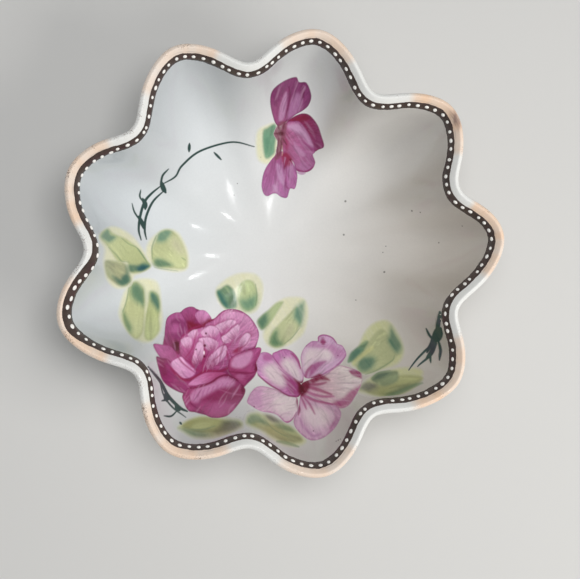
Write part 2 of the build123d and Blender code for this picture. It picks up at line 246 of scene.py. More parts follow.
class Painting:
    """A patch of the wall on a fine grid, painted in layers, which becomes a thin film of enamel."""

    def __init__(self, low, high, step=0.3):
        self.step = step
        xs = np.arange(low[0], high[0] + step, step)
        ys = np.arange(low[1], high[1] + step, step)
        self.shape = (len(xs), len(ys))
        grid_x, grid_y = np.meshgrid(xs, ys, indexing="ij")
        self.x, self.y = grid_x.ravel(), grid_y.ravel()
        # Starts from the porcelain's colour, painted shade included, so that the film's edge blends into the
        # body.
        self.colour = porcelain_colour(self.x, self.y)
        self.cover = np.zeros(len(self.x))

    def around(self, points, margin):
        """The grid points in the box around the given points."""
        low, high = points.min(0) - margin, points.max(0) + margin
        inside = (self.x > low[0]) & (self.x < high[0]) & (self.y > low[1]) & (self.y < high[1])
        return np.nonzero(inside)[0]

    def lay(self, where, mask, colour, shading=False):
        """Lays a colour, in proportion to the mask. Shading stays on what is already painted."""
        if shading:
            mask = mask * self.cover[where]
        else:
            self.cover[where] = np.maximum(self.cover[where], mask)
        self.colour[where] += mask[:, None] * (colour - self.colour[where])

    def depth(self, curve, where):
        """How far inside a closed curve the points are; negative outside."""
        x, y = self.x[where], self.y[where]
        nearest = np.full(len(x), 1e9)
        inside = np.zeros(len(x), bool)
        for start, end in zip(curve, np.roll(curve, -1, 0)):
            off_x, off_y, _ = off_segment(x, y, start, end)
            nearest = np.minimum(nearest, off_x**2 + off_y**2)
            rise = end[1] - start[1]
            if rise:
                level = (start[1] > y) != (end[1] > y)
                inside ^= level & (x < start[0] + (y - start[1]) * (end[0] - start[0]) / rise)
        return np.where(inside, 1.0, -1.0) * np.sqrt(nearest)

    def petal(self, outline, root, inner, outer, rim, rim_width=1.4, streaks=0.3, soft=0.35, seed=1,
              shading=False, hairs=0.2):
        """A brushed petal: inner colour at its root, outer at its tip, a rim and streaks from the root."""
        curve = smooth_closed(outline)
        where = self.around(curve, 2 * soft)
        depth = self.depth(curve, where)
        dx, dy = self.x[where] - root[0], self.y[where] - root[1]
        reach = np.hypot(dx, dy)
        share = reach / max(reach[depth > 0].max(), 1e-6)
        angle = np.arctan2(dy, dx)
        broad = ripple(angle * 9 + 0.5 * np.sin(share * 3), seed)
        brush = 0.5 * broad + 0.5 * ripple(angle * 30 + share, seed + 1)
        blend = smoothstep(0.1, 0.95, share + 0.35 * streaks * brush)
        inner, outer, rim = linear(inner), linear(outer), linear(rim)
        colour = inner + blend[:, None] * (outer - inner)
        colour = colour * (1 + 0.35 * streaks * brush)[:, None]
        edge = 0.85 * (1 - smoothstep(0, rim_width, depth + 0.25 * ripple(angle * 14, seed + 2)))
        colour = colour + edge[:, None] * (rim - colour)
        self.lay(where, smoothstep(-soft, soft, depth), np.clip(colour, 0, 1), shading)
        self.bristles(curve, root, seed, hairs)

    def bristles(self, curve, root, seed, density):
        """Fine hairs of lighter and darker colour that the brush left, running out from the petal's root."""
        random = np.random.default_rng(seed)
        low, high = curve.min(0), curve.max(0)
        for _ in range(int(density * np.prod(high - low))):
            start = random.uniform(low, high)
            ray = start - root
            distance = np.hypot(*ray)
            if distance < 1:
                continue
            length = random.uniform(2.5, 7.0)
            bend = random.normal(0, 0.06)
            along = ray / distance
            aside = np.array([-along[1], along[0]])
            where = self.around(np.array([start, start + along * length]), 0.8)
            if not len(where):
                continue
            keep = self.depth(curve[::2], where) > 0.2
            painted = keep & (self.cover[where] > 0.7)
            if not painted.any():
                continue
            base = self.colour[where][painted].mean(0)
            tone = np.clip(base * (1.28 if random.random() < 0.5 else 0.76), 0, 1)
            dx, dy = self.x[where] - start[0], self.y[where] - start[1]
            t = dx * along[0] + dy * along[1]
            off = dx * aside[0] + dy * aside[1] - bend * 4 * t * (length - t) / length
            wide = random.uniform(0.18, 0.5)
            ends = smoothstep(0, 0.8, t) * (1 - smoothstep(length - 1.2, length, t))
            mask = np.exp(-((off / wide) ** 2)) * ends
            self.lay(where, random.uniform(0.3, 0.75) * mask * keep, tone, True)

    def wash(self, outline, colour, soft=1.2, strength=1.0, shading=True, seed=3):
        """A soft-edged patch of one colour, slightly uneven."""
        curve = smooth_closed(outline)
        where = self.around(curve, soft)
        depth = self.depth(curve, where)
        uneven = 1 + 0.12 * ripple(self.x[where] * 0.9 + self.y[where] * 0.5, seed)
        mask = np.clip(strength * uneven, 0, 1) * smoothstep(-soft, soft, depth)
        self.lay(where, mask, linear(colour), shading)

    def brushwork(self, outline, along, colour, light, seed, count=7, widths=(0.6, 2.0), strength=0.5):
        """Long soft strokes, lighter and darker by turns, that run along a leaf or a petal."""
        random = np.random.default_rng(seed)
        curve = smooth_closed(outline)
        along = np.array(along, float)
        aside = np.array([-along[1], along[0]]) / np.hypot(*along)
        low, high = curve.min(0), curve.max(0)
        colour = np.array(colour, float)
        tones = [0.76 * colour, 0.55 * colour + 0.45 * np.array(light)]
        for k in range(count):
            start = random.uniform(low, high) - 0.4 * along
            bend = random.normal(0, 0.6) * aside
            line = np.array([start, start + 0.35 * along + bend, start + 0.75 * along])
            where = self.around(line, 2.0)
            if not len(where):
                continue
            kept = self.colour[where].copy()
            self.stroke(line, random.uniform(*widths), tones[k % 2], 0.4 * widths[1], strength, 0.9)
            inside = smoothstep(-0.2, 0.6, self.depth(curve[::2], where))[:, None]
            self.colour[where] = kept + inside * (self.colour[where] - kept)

    def glow(self, centre, radii, turn, colour, strength=1.0):
        """A soft oval of colour on what is already painted; turn is in degrees."""
        where = self.around(np.array([centre]), max(radii) * 1.6)
        dx, dy = self.x[where] - centre[0], self.y[where] - centre[1]
        along = (dx * cos(radians(turn)) + dy * sin(radians(turn))) / radii[0]
        across = (dy * cos(radians(turn)) - dx * sin(radians(turn))) / radii[1]
        seed = int(abs(centre[0]) * 7 + abs(centre[1]))
        grain = 0.22 * ripple(across * radii[1] * 3.5, seed) if min(radii) > 1 else 0
        mask = strength * (1 - smoothstep(0.35, 1.25, np.hypot(along, across) + grain))
        self.lay(where, mask, linear(colour), True)

    def tongue(self, outline, root, seed, light=(226, 176, 210), shadow=(136, 40, 88)):
        """A petal that is light at its tip and fades towards its root, with a dark hollow behind it."""
        outline = np.array(outline, float)
        root = np.array(root, float)
        back = outline.mean(0) - root
        self.wash(outline + 0.9 * back / np.hypot(*back), shadow, 0.9, 0.5)
        curve = smooth_closed(outline)
        where = self.around(curve, 1.0)
        depth = self.depth(curve, where)
        dx, dy = self.x[where] - root[0], self.y[where] - root[1]
        reach = np.hypot(dx, dy)
        near, far = reach[depth > 0].min(), reach[depth > 0].max()
        angle = np.arctan2(dy, dx)
        brush = 0.6 * ripple(angle * 26, seed) + 0.4 * ripple(angle * 70 + 0.3 * reach, seed + 1)
        share = (reach - near) / (far - near) + 0.16 * brush
        mask = smoothstep(-0.55, 0.55, depth + 0.2 * brush) * smoothstep(-0.05, 0.75, share)
        tone = linear(light) * (1 + 0.13 * brush * (1 - 0.5 * share))[:, None]
        self.lay(where, 0.94 * mask, np.clip(tone, 0, 1), True)
        self.bristles(curve, root, seed, 0.3)

    def deepen(self, shares):
        """Keeps only these shares of the red, green and blue of what has been painted so far."""
        self.colour *= 1 + self.cover[:, None] * (np.array(shares) - 1)

    def stroke(self, points, width, colour, soft=0.3, strength=1.0, taper=0.5, shading=True):
        """A brush stroke along a smooth line, thinner towards both ends."""
        curve = smooth_open(points)
        where = self.around(curve, width / 2 + 2 * soft)
        x, y = self.x[where], self.y[where]
        best = np.full(len(x), 1e9)
        part = np.zeros(len(x))
        count = len(curve) - 1
        for k in range(count):
            off_x, off_y, share = off_segment(x, y, curve[k], curve[k + 1])
            distance = np.hypot(off_x, off_y)
            nearer = distance < best
            best = np.where(nearer, distance, best)
            part = np.where(nearer, (k + share) / count, part)
        thin = 1 - taper * np.abs(2 * part - 1) ** 2.5
        mask = strength * (1 - smoothstep(-soft, soft, best - width / 2 * thin))
        self.lay(where, mask, linear(colour), shading)

    def film(self, name, material, slot, node, layer=0.0, edge=(0.0, 0.35)):
        """The film's mesh: a top that follows the wall, a hidden bottom and sides, closed all round."""
        height = wall_height(self.x, self.y)
        slope_x, slope_y = np.gradient(height.reshape(self.shape), self.step)
        normal = np.column_stack([-slope_x.ravel(), -slope_y.ravel(), np.ones(len(height))])
        normal /= np.linalg.norm(normal, axis=1)[:, None]
        cover = self.cover
        lift = FILM_SUNK + (FILM_RISE + layer) * smoothstep(*edge, cover)
        on_wall = np.column_stack([self.x, self.y, height])
        top = on_wall + normal * lift[:, None]
        bottom = on_wall + normal * (lift - FILM_DEPTH)[:, None]
        index = np.arange(len(cover)).reshape(self.shape)
        corners = np.stack([index[:-1, :-1], index[1:, :-1], index[1:, 1:], index[:-1, 1:]], -1)
        corners = corners.reshape(-1, 4)
        quads = corners[cover[corners].max(1) > FAINTEST_COVER]
        used = np.unique(quads)
        renumber = np.full(len(cover), -1)
        renumber[used] = np.arange(len(used))
        quads = renumber[quads]
        count = len(used)
        edges = np.concatenate([quads[:, [k, (k + 1) % 4]] for k in range(4)])
        directed = set(map(tuple, edges.tolist()))
        rim = [(a, b) for a, b in directed if (b, a) not in directed]
        faces = quads.tolist() + (quads[:, ::-1] + count).tolist()
        faces += [(b, a, a + count, b + count) for a, b in sorted(rim)]
        smooth = [True] * len(quads) + [False] * (len(faces) - len(quads))
        vertices = np.vstack([top[used], bottom[used]])
        colours = np.vstack([self.colour[used]] * 2)
        piece = new_object(name, vertices, faces, colours, np.tile(cover[used], 2), smooth)
        place(piece, material, slot, node)


# ---------------------------------------------------------------- materials
SPECK_BROWN = (70, 62, 58)
WEAR_BROWN = (120, 92, 74)
# Iron specks in the glaze: (x, y, radius)
SPECKS = [
    (46.2, 32.5, 0.9), (45.2, 12.0, 0.8), (82.3, 25.3, 0.8), (86.6, 24.2, 0.6), (68.7, 1.0, 0.5),
    (68.7, -11.0, 0.9), (70.5, 4.8, 0.5), (99.3, 6.4, 0.6), (109.0, 15.6, 0.6), (32.0, -107.3, 0.6),
    (33.0, -106.6, 0.7), (34.0, -105.9, 0.6), (-20.0, 43.0, 0.45), (-22.0, 36.0, 0.4), (3.0, -62.0, 0.4),
    (52.0, -28.0, 0.5),
]


class Finish:
    """A material, and the few kinds of shader node that the glaze and the enamels are made of."""

    def __init__(self, name):
        self.material = bpy.data.materials.new(name)
        self.material.use_nodes = True
        self.nodes, self.links = self.material.node_tree.nodes, self.material.node_tree.links
        self.shader = self.nodes["Principled BSDF"]
        self.position = self.nodes.new("ShaderNodeTexCoord").outputs["Object"]

    def noise(self, scale, detail, seed):
        """A noise laid out over the object; the mottles spread over its middle values."""
        texture = self.nodes.new("ShaderNodeTexNoise")
        texture.noise_dimensions = "4D"
        texture.inputs["W"].default_value = seed
        texture.inputs["Scale"].default_value = scale
        texture.inputs["Detail"].default_value = detail
        self.links.new(self.position, texture.inputs["Vector"])
        return texture.outputs["Fac"]

    def remap(self, source, low, high, from_low=0.3, from_high=0.7):
        scaled = self.nodes.new("ShaderNodeMapRange")
        limits = {"From Min": from_low, "From Max": from_high, "To Min": low, "To Max": high}
        for socket, value in limits.items():
            scaled.inputs[socket].default_value = value
        self.links.new(source, scaled.inputs["Value"])
        return scaled.outputs["Result"]

    def times(self, colour, factor):
        product = self.nodes.new("ShaderNodeVectorMath")
        product.operation = "MULTIPLY"
        self.links.new(colour, product.inputs[0])
        self.links.new(factor, product.inputs[1])
        return product.outputs["Vector"]

    def laid_over(self, under, over, share):
        """The colour under, with a plain one laid over it in the given share."""
        mix = self.nodes.new("ShaderNodeMix")
        mix.data_type = "RGBA"
        mix.inputs["B"].default_value = (*linear(over), 1)
        self.links.new(share, mix.inputs["Factor"])
        self.links.new(under, mix.inputs["A"])
        return mix.outputs["Result"]

    def brush_mottle(self, alpha):
        """A mottle that fades out where the paint does, so that a film's edge can't be seen."""
        faded = self.nodes.new("ShaderNodeMix")
        faded.data_type = "FLOAT"
        faded.inputs["A"].default_value = 1.0
        self.links.new(alpha, faded.inputs["Factor"])
        self.links.new(self.remap(self.noise(700, 3, 3), 0.95, 1.05), faded.inputs["B"])
        return faded.outputs["Result"]

    def lip_wear(self, colour, alpha):
        """Fine brown specks where the glaze has worn off the lip, as thick as the paint's alpha says."""
        amount = self.nodes.new("ShaderNodeMath")
        amount.operation = "MULTIPLY"
        self.links.new(self.remap(self.noise(1500, 2, 6), 0, 1, 0.53, 0.62), amount.inputs[0])
        self.links.new(alpha, amount.inputs[1])
        return self.laid_over(colour, WEAR_BROWN, amount.outputs["Value"])

    def specks(self, colour):
        """Small dark dots of iron in the glaze of the wall."""
        for x, y, radius in SPECKS:
            away = self.nodes.new("ShaderNodeVectorMath")
            away.operation = "DISTANCE"
            away.inputs[1].default_value = Vector((x, y, float(wall_height(x, y)))) * MM
            self.links.new(self.position, away.inputs[0])
            share = self.remap(away.outputs["Value"], 0.75, 0.0, 0.4 * radius * MM, radius * MM)
            colour = self.laid_over(colour, SPECK_BROWN, share)
        return colour


def glazed(name, roughness, brush=False, body=False):
    """Glazed ceramic coloured by the piece's own paint, with a faint mottle and a softly uneven glaze."""
    finish = Finish(name)
    paint = finish.nodes.new("ShaderNodeVertexColor")
    paint.layer_name = "paint"
    colour = finish.times(paint.outputs["Color"], finish.remap(finish.noise(35, 3, 1), 0.985, 1.015))
    colour = finish.times(colour, finish.remap(finish.noise(900, 2, 2), 0.985, 1.015))
    if brush:
        colour = finish.times(colour, finish.brush_mottle(paint.outputs["Alpha"]))
    if body:
        colour = finish.specks(finish.lip_wear(colour, paint.outputs["Alpha"]))
    finish.links.new(colour, finish.shader.inputs["Base Color"])
    uneven = finish.remap(finish.noise(60, 3, 4), roughness - 0.03, roughness + 0.05)
    finish.links.new(uneven, finish.shader.inputs["Roughness"])
    bump = finish.nodes.new("ShaderNodeBump")
    bump.inputs["Strength"].default_value = 0.25
    bump.inputs["Distance"].default_value = 0.0002
    finish.links.new(finish.noise(150, 2, 5), bump.inputs["Height"])
    finish.links.new(bump.outputs["Normal"], finish.shader.inputs["Normal"])
    finish.shader.inputs["IOR"].default_value = 1.5
    return finish.material


porcelain = glazed("porcelain", 0.11, body=True)
band_enamel = glazed("band_enamel", 0.2, brush=True)
bead_enamel = glazed("bead_enamel", 0.16)
rose_enamel = glazed("rose_enamel", 0.13, brush=True)
pale_petal_enamel = glazed("pale_petal_enamel", 0.13, brush=True)
leaf_enamel = glazed("leaf_enamel", 0.13, brush=True)
stem_enamel = glazed("stem_enamel", 0.13, brush=True)

# ---------------------------------------------------------------- bowl body
STATIONS = 432
stations = np.linspace(0, HALF_LOBES, STATIONS + 1)[:-1]
PEACH = (244, 210, 180)
LIP_WHITE = (236, 236, 232)
SHADOW_LINE_GREY = (150, 146, 142)
SMEAR_BROWN = (134, 108, 100)
SMEAR_STATION = 1.86
FLUTE_SHADE = (176, 166, 152)
SHADED_VALLEYS = (-3.0, -1.0, 1.0, 3.0)
# Where the peach blush lies along the lip: (first station, last station, strength)
BLUSH = [
    (-0.55, 0.75, 1.0), (1.35, 2.6, 1.0), (3.4, 4.6, 0.75), (5.35, 6.65, 0.7), (7.3, 8.75, 0.9),
    (9.3, 10.7, 0.9), (11.3, 12.8, 0.85), (13.35, 14.6, 0.7), (15.4, 16.7, 0.95),
]
BLUSH_FADE = 0.12
BARE_WHITE = (196, 188, 174)
BARE_LIGHT = (226, 221, 210)


def laid_over(colour, over, share):
    return colour + share[:, None] * (linear(over) - colour)


def blush_share(station):
    """How strong the peach blush is at each station of the lip."""
    blush = np.zeros(len(station))
    for first, last, strength in BLUSH:
        turned = (station - first) % HALF_LOBES
        length = last - first
        fade = smoothstep(0, BLUSH_FADE, turned) * (1 - smoothstep(length - BLUSH_FADE, length, turned))
        blush = np.maximum(blush, strength * fade)
    return blush


def peach_share(station, inset, blush):
    """The blush is full on the lip's inner side and thinner on its outer side."""
    inner_side = smoothstep(-1.2, 1.0, inset + 0.5 * ripple(station * 5, 11))
    inner_side = inner_side * (1 - smoothstep(5.2, 5.6, inset))
    uneven = 0.75 + 0.25 * ripple(station * 7, 12)
    return blush * (0.5 + 0.5 * inner_side) * uneven


def shadow_line_share(station, inset, blush):
    """A thin broken grey line of painted shadow along the inner edge of the blush, where the lip turns up
    from the wall.
    """
    off = (inset - 4.5 - 0.25 * ripple(station * 3, 13)) / 0.35
    broken = 0.35 * np.clip(0.4 + ripple(station * 11, 14), 0, 1)
    return np.exp(-(off**2)) * smoothstep(0.2, 0.8, blush) * broken


def smear_share(station, inset, height):
    """A brown kiln mark on the lip of the upper right lobe."""
    smear = 1.25 * np.exp(-(((station - SMEAR_STATION) / 0.12) ** 2) - ((inset - 2.4) / 1.9) ** 2)
    return np.clip(smear * (0.9 + 0.5 * ripple(station * 60 + inset * 3, 17)), 0, 0.85) * (height > 60)


def ridge_shade_share(station, scale, inset, height):
    """Painted shade, greyer and browner, along one side of the ridges between the right-hand lobes."""
    ridge_shade = np.zeros(len(station))
    for valley in SHADED_VALLEYS:
        away = (station - valley + HALF_LOBES / 2) % HALF_LOBES - HALF_LOBES / 2
        ridge_shade = np.maximum(ridge_shade, np.exp(-(((away - 0.16) / 0.22) ** 2)))
    return ridge_shade * 0.4 * smoothstep(0.5, 0.9, scale) * smoothstep(7.9, 8.0, inset) * (height > 12)


def wear_share(station, inset, height, x):
    """How worn the outer half of the lip is, most at the bowl's left."""
    worn = smoothstep(0.1, 0.9, ripple(station * 9, 15) + 0.4 * ripple(station * 31, 16))
    wear = np.clip(0.25 + worn, 0, 1) * smoothstep(4.2, 1.0, inset) * (height > 61)
    return wear * (0.35 + 0.65 * smoothstep(20.0, -80.0, x))


def body_colours(rows):
    """The colour of every point of the body, and how worn it is there."""
    station = np.tile(stations, len(rows))
    scale, inset, height = (np.repeat(rows[:, k], STATIONS) for k in range(3))
    flat = inset_point(station, inset, scale[:, None])
    lip = smoothstep(7.0, 4.8, inset) * (scale > TOP_SCALE)
    blush = blush_share(station)
    colour = laid_over(porcelain_colour(flat[:, 0], flat[:, 1]), LIP_WHITE, lip)
    colour = laid_over(colour, PEACH, np.clip(peach_share(station, inset, blush) * lip, 0, 1))
    # A thin painted shadow where the lip turns up from the wall.
    colour = laid_over(colour, SHADOW_LINE_GREY, shadow_line_share(station, inset, blush))
    colour = laid_over(colour, SMEAR_BROWN, smear_share(station, inset, height))
    # Painted shade along one side of the right-hand ridges.
    colour = laid_over(colour, FLUTE_SHADE, ridge_shade_share(station, scale, inset, height))
    return colour, np.clip(wear_share(station, inset, height, flat[:, 0]) * lip, 0, 0.9)


def make_body():
    """The fluted wall, floor and lip: a ring of points for each row of the profile, closed at the axis."""
    rows = np.array(smoothed(OUTER_PROFILE + INNER_PROFILE[::-1]))
    rings = [np.column_stack([inset_point(stations, inset, scale), np.full(STATIONS, height)])
             for scale, inset, height in rows]
    vertices = np.vstack([*rings, [[0, 0, rows[0][2]], [0, 0, rows[-1][2] - 0.05]]])
    faces = ring_faces(len(rows), STATIONS)
    last_ring = (len(rows) - 1) * STATIONS
    under, middle = len(vertices) - 2, len(vertices) - 1
    for i in range(STATIONS):
        after = (i + 1) % STATIONS
        faces += [(after, i, under), (last_ring + i, last_ring + after, middle)]
    tint, wear = body_colours(rows)
    colours = np.vstack([tint, [linear(PORCELAIN_PLAIN)] * 2])
    piece = new_object("porcelain_body", vertices, faces, colours, np.concatenate([wear, [0, 0]]))
    place(piece, porcelain, "porcelain", "bowl_body")


def make_foot():
    """The unglazed foot ring keeps its CAD shape and only takes a colour of its own."""
    finish = Finish("bare_foot")
    grain = finish.nodes.new("ShaderNodeTexNoise")
    grain.inputs["Scale"].default_value = 600
    ramp = finish.nodes.new("ShaderNodeValToRGB")
    ramp.color_ramp.elements[0].color = (*linear(BARE_WHITE), 1)
    ramp.color_ramp.elements[1].color = (*linear(BARE_LIGHT), 1)
    finish.links.new(finish.position, grain.inputs["Vector"])
    finish.links.new(grain.outputs["Fac"], ramp.inputs["Fac"])
    finish.links.new(ramp.outputs["Color"], finish.shader.inputs["Base Color"])
    finish.shader.inputs["Roughness"].default_value = 0.55
    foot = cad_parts["foot_ring"]
    foot.data.materials.clear()
    foot.data.materials.append(finish.material)


make_body()
make_foot()

# ---------------------------------------------------------------- band and beads
BAND_BROWN = (72, 60, 55)
BAND_OUTER = 5.0
BAND_INNER = 7.9
BAND_WIDENING = 2.2
BAND_COLUMNS = 3 * STATIONS
BAND_ROWS = 8
BAND_EDGE = -0.1
BEADS_PER_LOBE = 17
BEAD_INSET = 6.45
SPACING_SAMPLES = 2880
BEAD_LIFT = 0.08
BEAD_SKIRT = 0.12
BEAD_WHITE = (252, 250, 244)
BEAD_SHADE_GREY = (214, 208, 200)
BEAD_RINGS = 6
BEAD_AROUND = 16
bead_turns = np.linspace(0, 2 * pi, BEAD_AROUND + 1)[:-1]


def lip_point(station, inset, off):
    """A point on the lip's inner slope, raised off it."""
    height = np.interp(-inset, -lip_rows[:, 1], lip_rows[:, 2])
    higher = np.interp(-(inset - 0.05), -lip_rows[:, 1], lip_rows[:, 2])
    slope = np.arctan2(higher - height, 0.05)
    flat = inset_point(station, inset + off * np.sin(slope))
    return np.concatenate([flat, (height + off * np.cos(slope))[..., None]], -1)


def make_band():
    """The brown band, crowned across, a little uneven along its edges and wider on the left-hand lobe."""
    station = np.linspace(0, HALF_LOBES, BAND_COLUMNS + 1)[:-1]
    wide = smoothstep(8.9, 9.3, station) * (1 - smoothstep(10.1, 10.5, station))
    outer = BAND_OUTER - BAND_WIDENING * wide
    outer = outer + 0.16 * ripple(station * 9, 21) + 0.08 * ripple(station * 40, 22)
    inner = BAND_INNER + 0.12 * ripple(station * 8, 23) + 0.08 * ripple(station * 37, 24)
    rows = [lip_point(station, inner + (outer - inner) * share, 0.03 + 0.12 * sin(pi * share) ** 0.5)
            for share in np.linspace(0, 1, BAND_ROWS)]
    rows += [lip_point(station, outer, BAND_EDGE), lip_point(station, inner, BAND_EDGE)]
    vertices = np.vstack(rows)
    faces = ring_faces(len(rows), BAND_COLUMNS)
    last = (len(rows) - 1) * BAND_COLUMNS
    for i in range(BAND_COLUMNS):
        after = (i + 1) % BAND_COLUMNS
        faces.append((last + i, last + after, after, i))
    uneven = 1 + 0.18 * np.tile(ripple(station * 17, 25), len(rows)) + 0.1 * ripple(vertices[:, 0] * 1.7, 26)
    colours = linear(BAND_BROWN) * uneven[:, None]
    piece = new_object("border_band", vertices, faces, colours, np.ones(len(vertices)))
    place(piece, band_enamel, "band_enamel", "rim_band")


def bead_middles():
    """The stations of all the beads, evenly spaced along the band."""
    count = LOBES * BEADS_PER_LOBE
    fine = np.linspace(0, HALF_LOBES, SPACING_SAMPLES + 1)
    steps = np.hypot(*np.diff(inset_point(fine, 6.4), axis=0).T)
    lengths = np.concatenate([[0], np.cumsum(steps)])
    return np.interp(np.arange(count) / count * lengths[-1], lengths, fine)


def bead_axes(station, inset):
    """The foot of a bead, and unit steps ahead along the lip, to the side and up off it."""
    centre, ahead, inner = (
        lip_point(np.array(station + step), np.array(inset + shift), BEAD_LIFT)
        for step, shift in [(0, 0), (0.004, 0), (0, 0.2)]
    )
    ahead = (ahead - centre) / np.linalg.norm(ahead - centre)
    up = np.cross(ahead, inner - centre)
    up *= np.sign(up[2]) / np.linalg.norm(up)
    return centre, ahead, np.cross(up, ahead), up


def bead_mesh(axes, long, wide, rise, dimple, wobble):
    """One low drop of enamel: its points, faces and colours, white on top and grey as painted shade at its
    foot and in a dimple.
    """
    centre, ahead, side, up = axes
    grey, white = linear(BEAD_SHADE_GREY), linear(BEAD_WHITE)
    vertices, colours = [], []
    for ring in range(BEAD_RINGS):
        tilt = pi / 2 * ring / BEAD_RINGS
        sink = dimple * (1 - min(1.0, cos(tilt) / 0.55))
        level = rise * (sin(tilt) - sink) - (0 if ring else BEAD_SKIRT)
        # Painted shade: greyer towards the bead's foot and in its dimple, white on top.
        shade = min(1.0, 0.5 + tilt) * (1 - 0.25 * sink)
        for turn, stretch in zip(bead_turns, wobble):
            flat = ahead * (long * cos(turn)) + side * (wide * sin(turn))
            vertices.append(centre + flat * cos(tilt) * stretch + up * level)
            colours.append(grey + shade * (white - grey))
    crown = len(vertices)
    vertices.append(centre + up * rise * (1 - dimple))
    colours.append(grey if dimple else white)
    faces = ring_faces(BEAD_RINGS, BEAD_AROUND)
    top_ring = crown - BEAD_AROUND
    faces += [(top_ring + i, top_ring + (i + 1) % BEAD_AROUND, crown) for i in range(BEAD_AROUND)]
    faces.append(tuple(reversed(range(BEAD_AROUND))))
    return vertices, faces, colours


def make_beads():
    """The raised beads, no two alike: some long, some small, some dimpled by the firing."""
    random = np.random.default_rng(7)
    middles = bead_middles().reshape(LOBES, BEADS_PER_LOBE)
    for lobe in range(LOBES):
        vertices, faces, colours = [], [], []
        for k, middle in enumerate(middles[lobe]):
            station = middle + random.normal(0, 0.012)
            inset = BEAD_INSET + random.normal(0, 0.12) + (1.0 if 7.3 < station < 9.3 else 0)
            long, wide = 1.15 * random.uniform(0.82, 1.2), 1.12 * random.uniform(0.85, 1.12)
            if 9.2 < station < 10.2:
                long *= 1.25
                wide *= 1.2
                inset += random.uniform(-1.2, 0.3)
            rise = 0.62 * random.uniform(0.8, 1.15)
            dimple = random.uniform(0.3, 0.7) if random.random() < 0.22 else 0.0
            wobble = 1 + 0.07 * ripple(np.cos(bead_turns) * 3 + k, 30 + lobe)
            bead = bead_mesh(bead_axes(station, inset), long, wide, rise, dimple, wobble)
            faces += [tuple(len(vertices) + i for i in face) for face in bead[1]]
            vertices += bead[0]
            colours += bead[2]
        piece = new_object(f"border_beads_{lobe + 1}", vertices, faces, colours)
        place(piece, bead_enamel, "bead_enamel", f"beads_{lobe + 1}")


make_band()
make_beads()

# ---------------------------------------------------------------- painted flowers
ROSE_DEEP = (138, 50, 98)
PETAL_LIGHT = (230, 198, 216)
LEAF_LIGHT = (222, 226, 168)
CRISP = (0.25, 0.6)
ROSE_GROUND = [
    (-64, -45), (-62.5, -38), (-56, -35), (-49, -32), (-42, -34), (-36, -39), (-28, -34.5), (-18, -34.5),
    (-9.5, -43), (-8.5, -53), (-12, -62), (-10, -71), (-19, -80), (-28, -92), (-40, -93.5), (-52, -89),
    (-54, -81), (-62, -76), (-67.5, -65), (-66, -55),
]
ROSE_BUD = [
    (-50.5, -41), (-51, -47), (-54, -51), (-55, -58), (-59, -60), (-62, -54), (-64, -48), (-64, -43),
    (-62.5, -37.5), (-58, -34.8), (-54, -35), (-51, -37.5),
]
ROSE_WING = [
    (-40, -43), (-35, -39.5), (-31, -35.5), (-27, -33.3), (-22, -33), (-17, -34.5), (-12.5, -38), (-9, -43),
    (-7.3, -47.5), (-8, -52), (-10.5, -56), (-16, -57.5), (-20, -60), (-24, -61.5), (-29, -58), (-34, -50),
]
ROSE_HEART = [
    (-55, -50), (-50, -46.5), (-45, -44.5), (-41, -43.5), (-36, -42.5), (-31, -46), (-29.5, -52),
    (-25, -59), (-25, -65), (-31, -69), (-40, -70.3), (-47, -69.5), (-52, -64), (-55.5, -57),
]
ROSE_FRONT = [
    (-54.2, -82), (-50, -78.2), (-44, -77), (-38, -76), (-33, -73), (-28, -72), (-22, -74.5), (-18, -78.5),
    (-17.3, -81), (-20, -85.5), (-26, -91.5), (-31, -94.3), (-38, -94.7), (-44, -91.9), (-50.5, -91),
    (-53.5, -86),
]
ROSE_OUTER_LEFT = [(-69, -60), (-60, -62), (-47, -76), (-53, -81), (-65, -73)]


def rose_bud(p):
    """The bud at the left and the small petals behind."""
    p.petal(ROSE_BUD, (-57, -60), (120, 42, 78), (176, 88, 142), (150, 62, 116), 0.9, 0.2, seed=41)
    p.wash([(-61, -44), (-60, -39.5), (-56, -38), (-52, -41), (-52, -46), (-55, -50), (-60, -49)],
        (138, 56, 104), 1.0)
    p.glow((-58.3, -43.8), (3.2, 3.6), 0, (180, 92, 146), 0.95)
    p.glow((-57.3, -53.6), (2.2, 3.6), 10, (84, 26, 40), 0.95)
    p.petal([(-54, -34), (-50, -31.5), (-46, -32), (-44.5, -36), (-46, -41), (-50, -42), (-53, -38)],
        (-48, -44), (132, 40, 80), (164, 78, 128), (136, 56, 104), 0.9, 0.3, seed=42)
    p.petal([(-46, -37), (-44.5, -34.2), (-41.5, -33.4), (-39, -34.5), (-36, -38.5), (-37, -42),
        (-42, -42.5)], (-43, -46), (140, 50, 90), (206, 136, 182), (176, 92, 146), 0.8, 0.3, seed=43)
    p.wash([(-51, -40), (-46, -41), (-42, -41.5), (-37, -38.5), (-33, -40), (-37, -46), (-45, -47),
        (-50, -46)], (122, 26, 52), 1.3, 0.9)


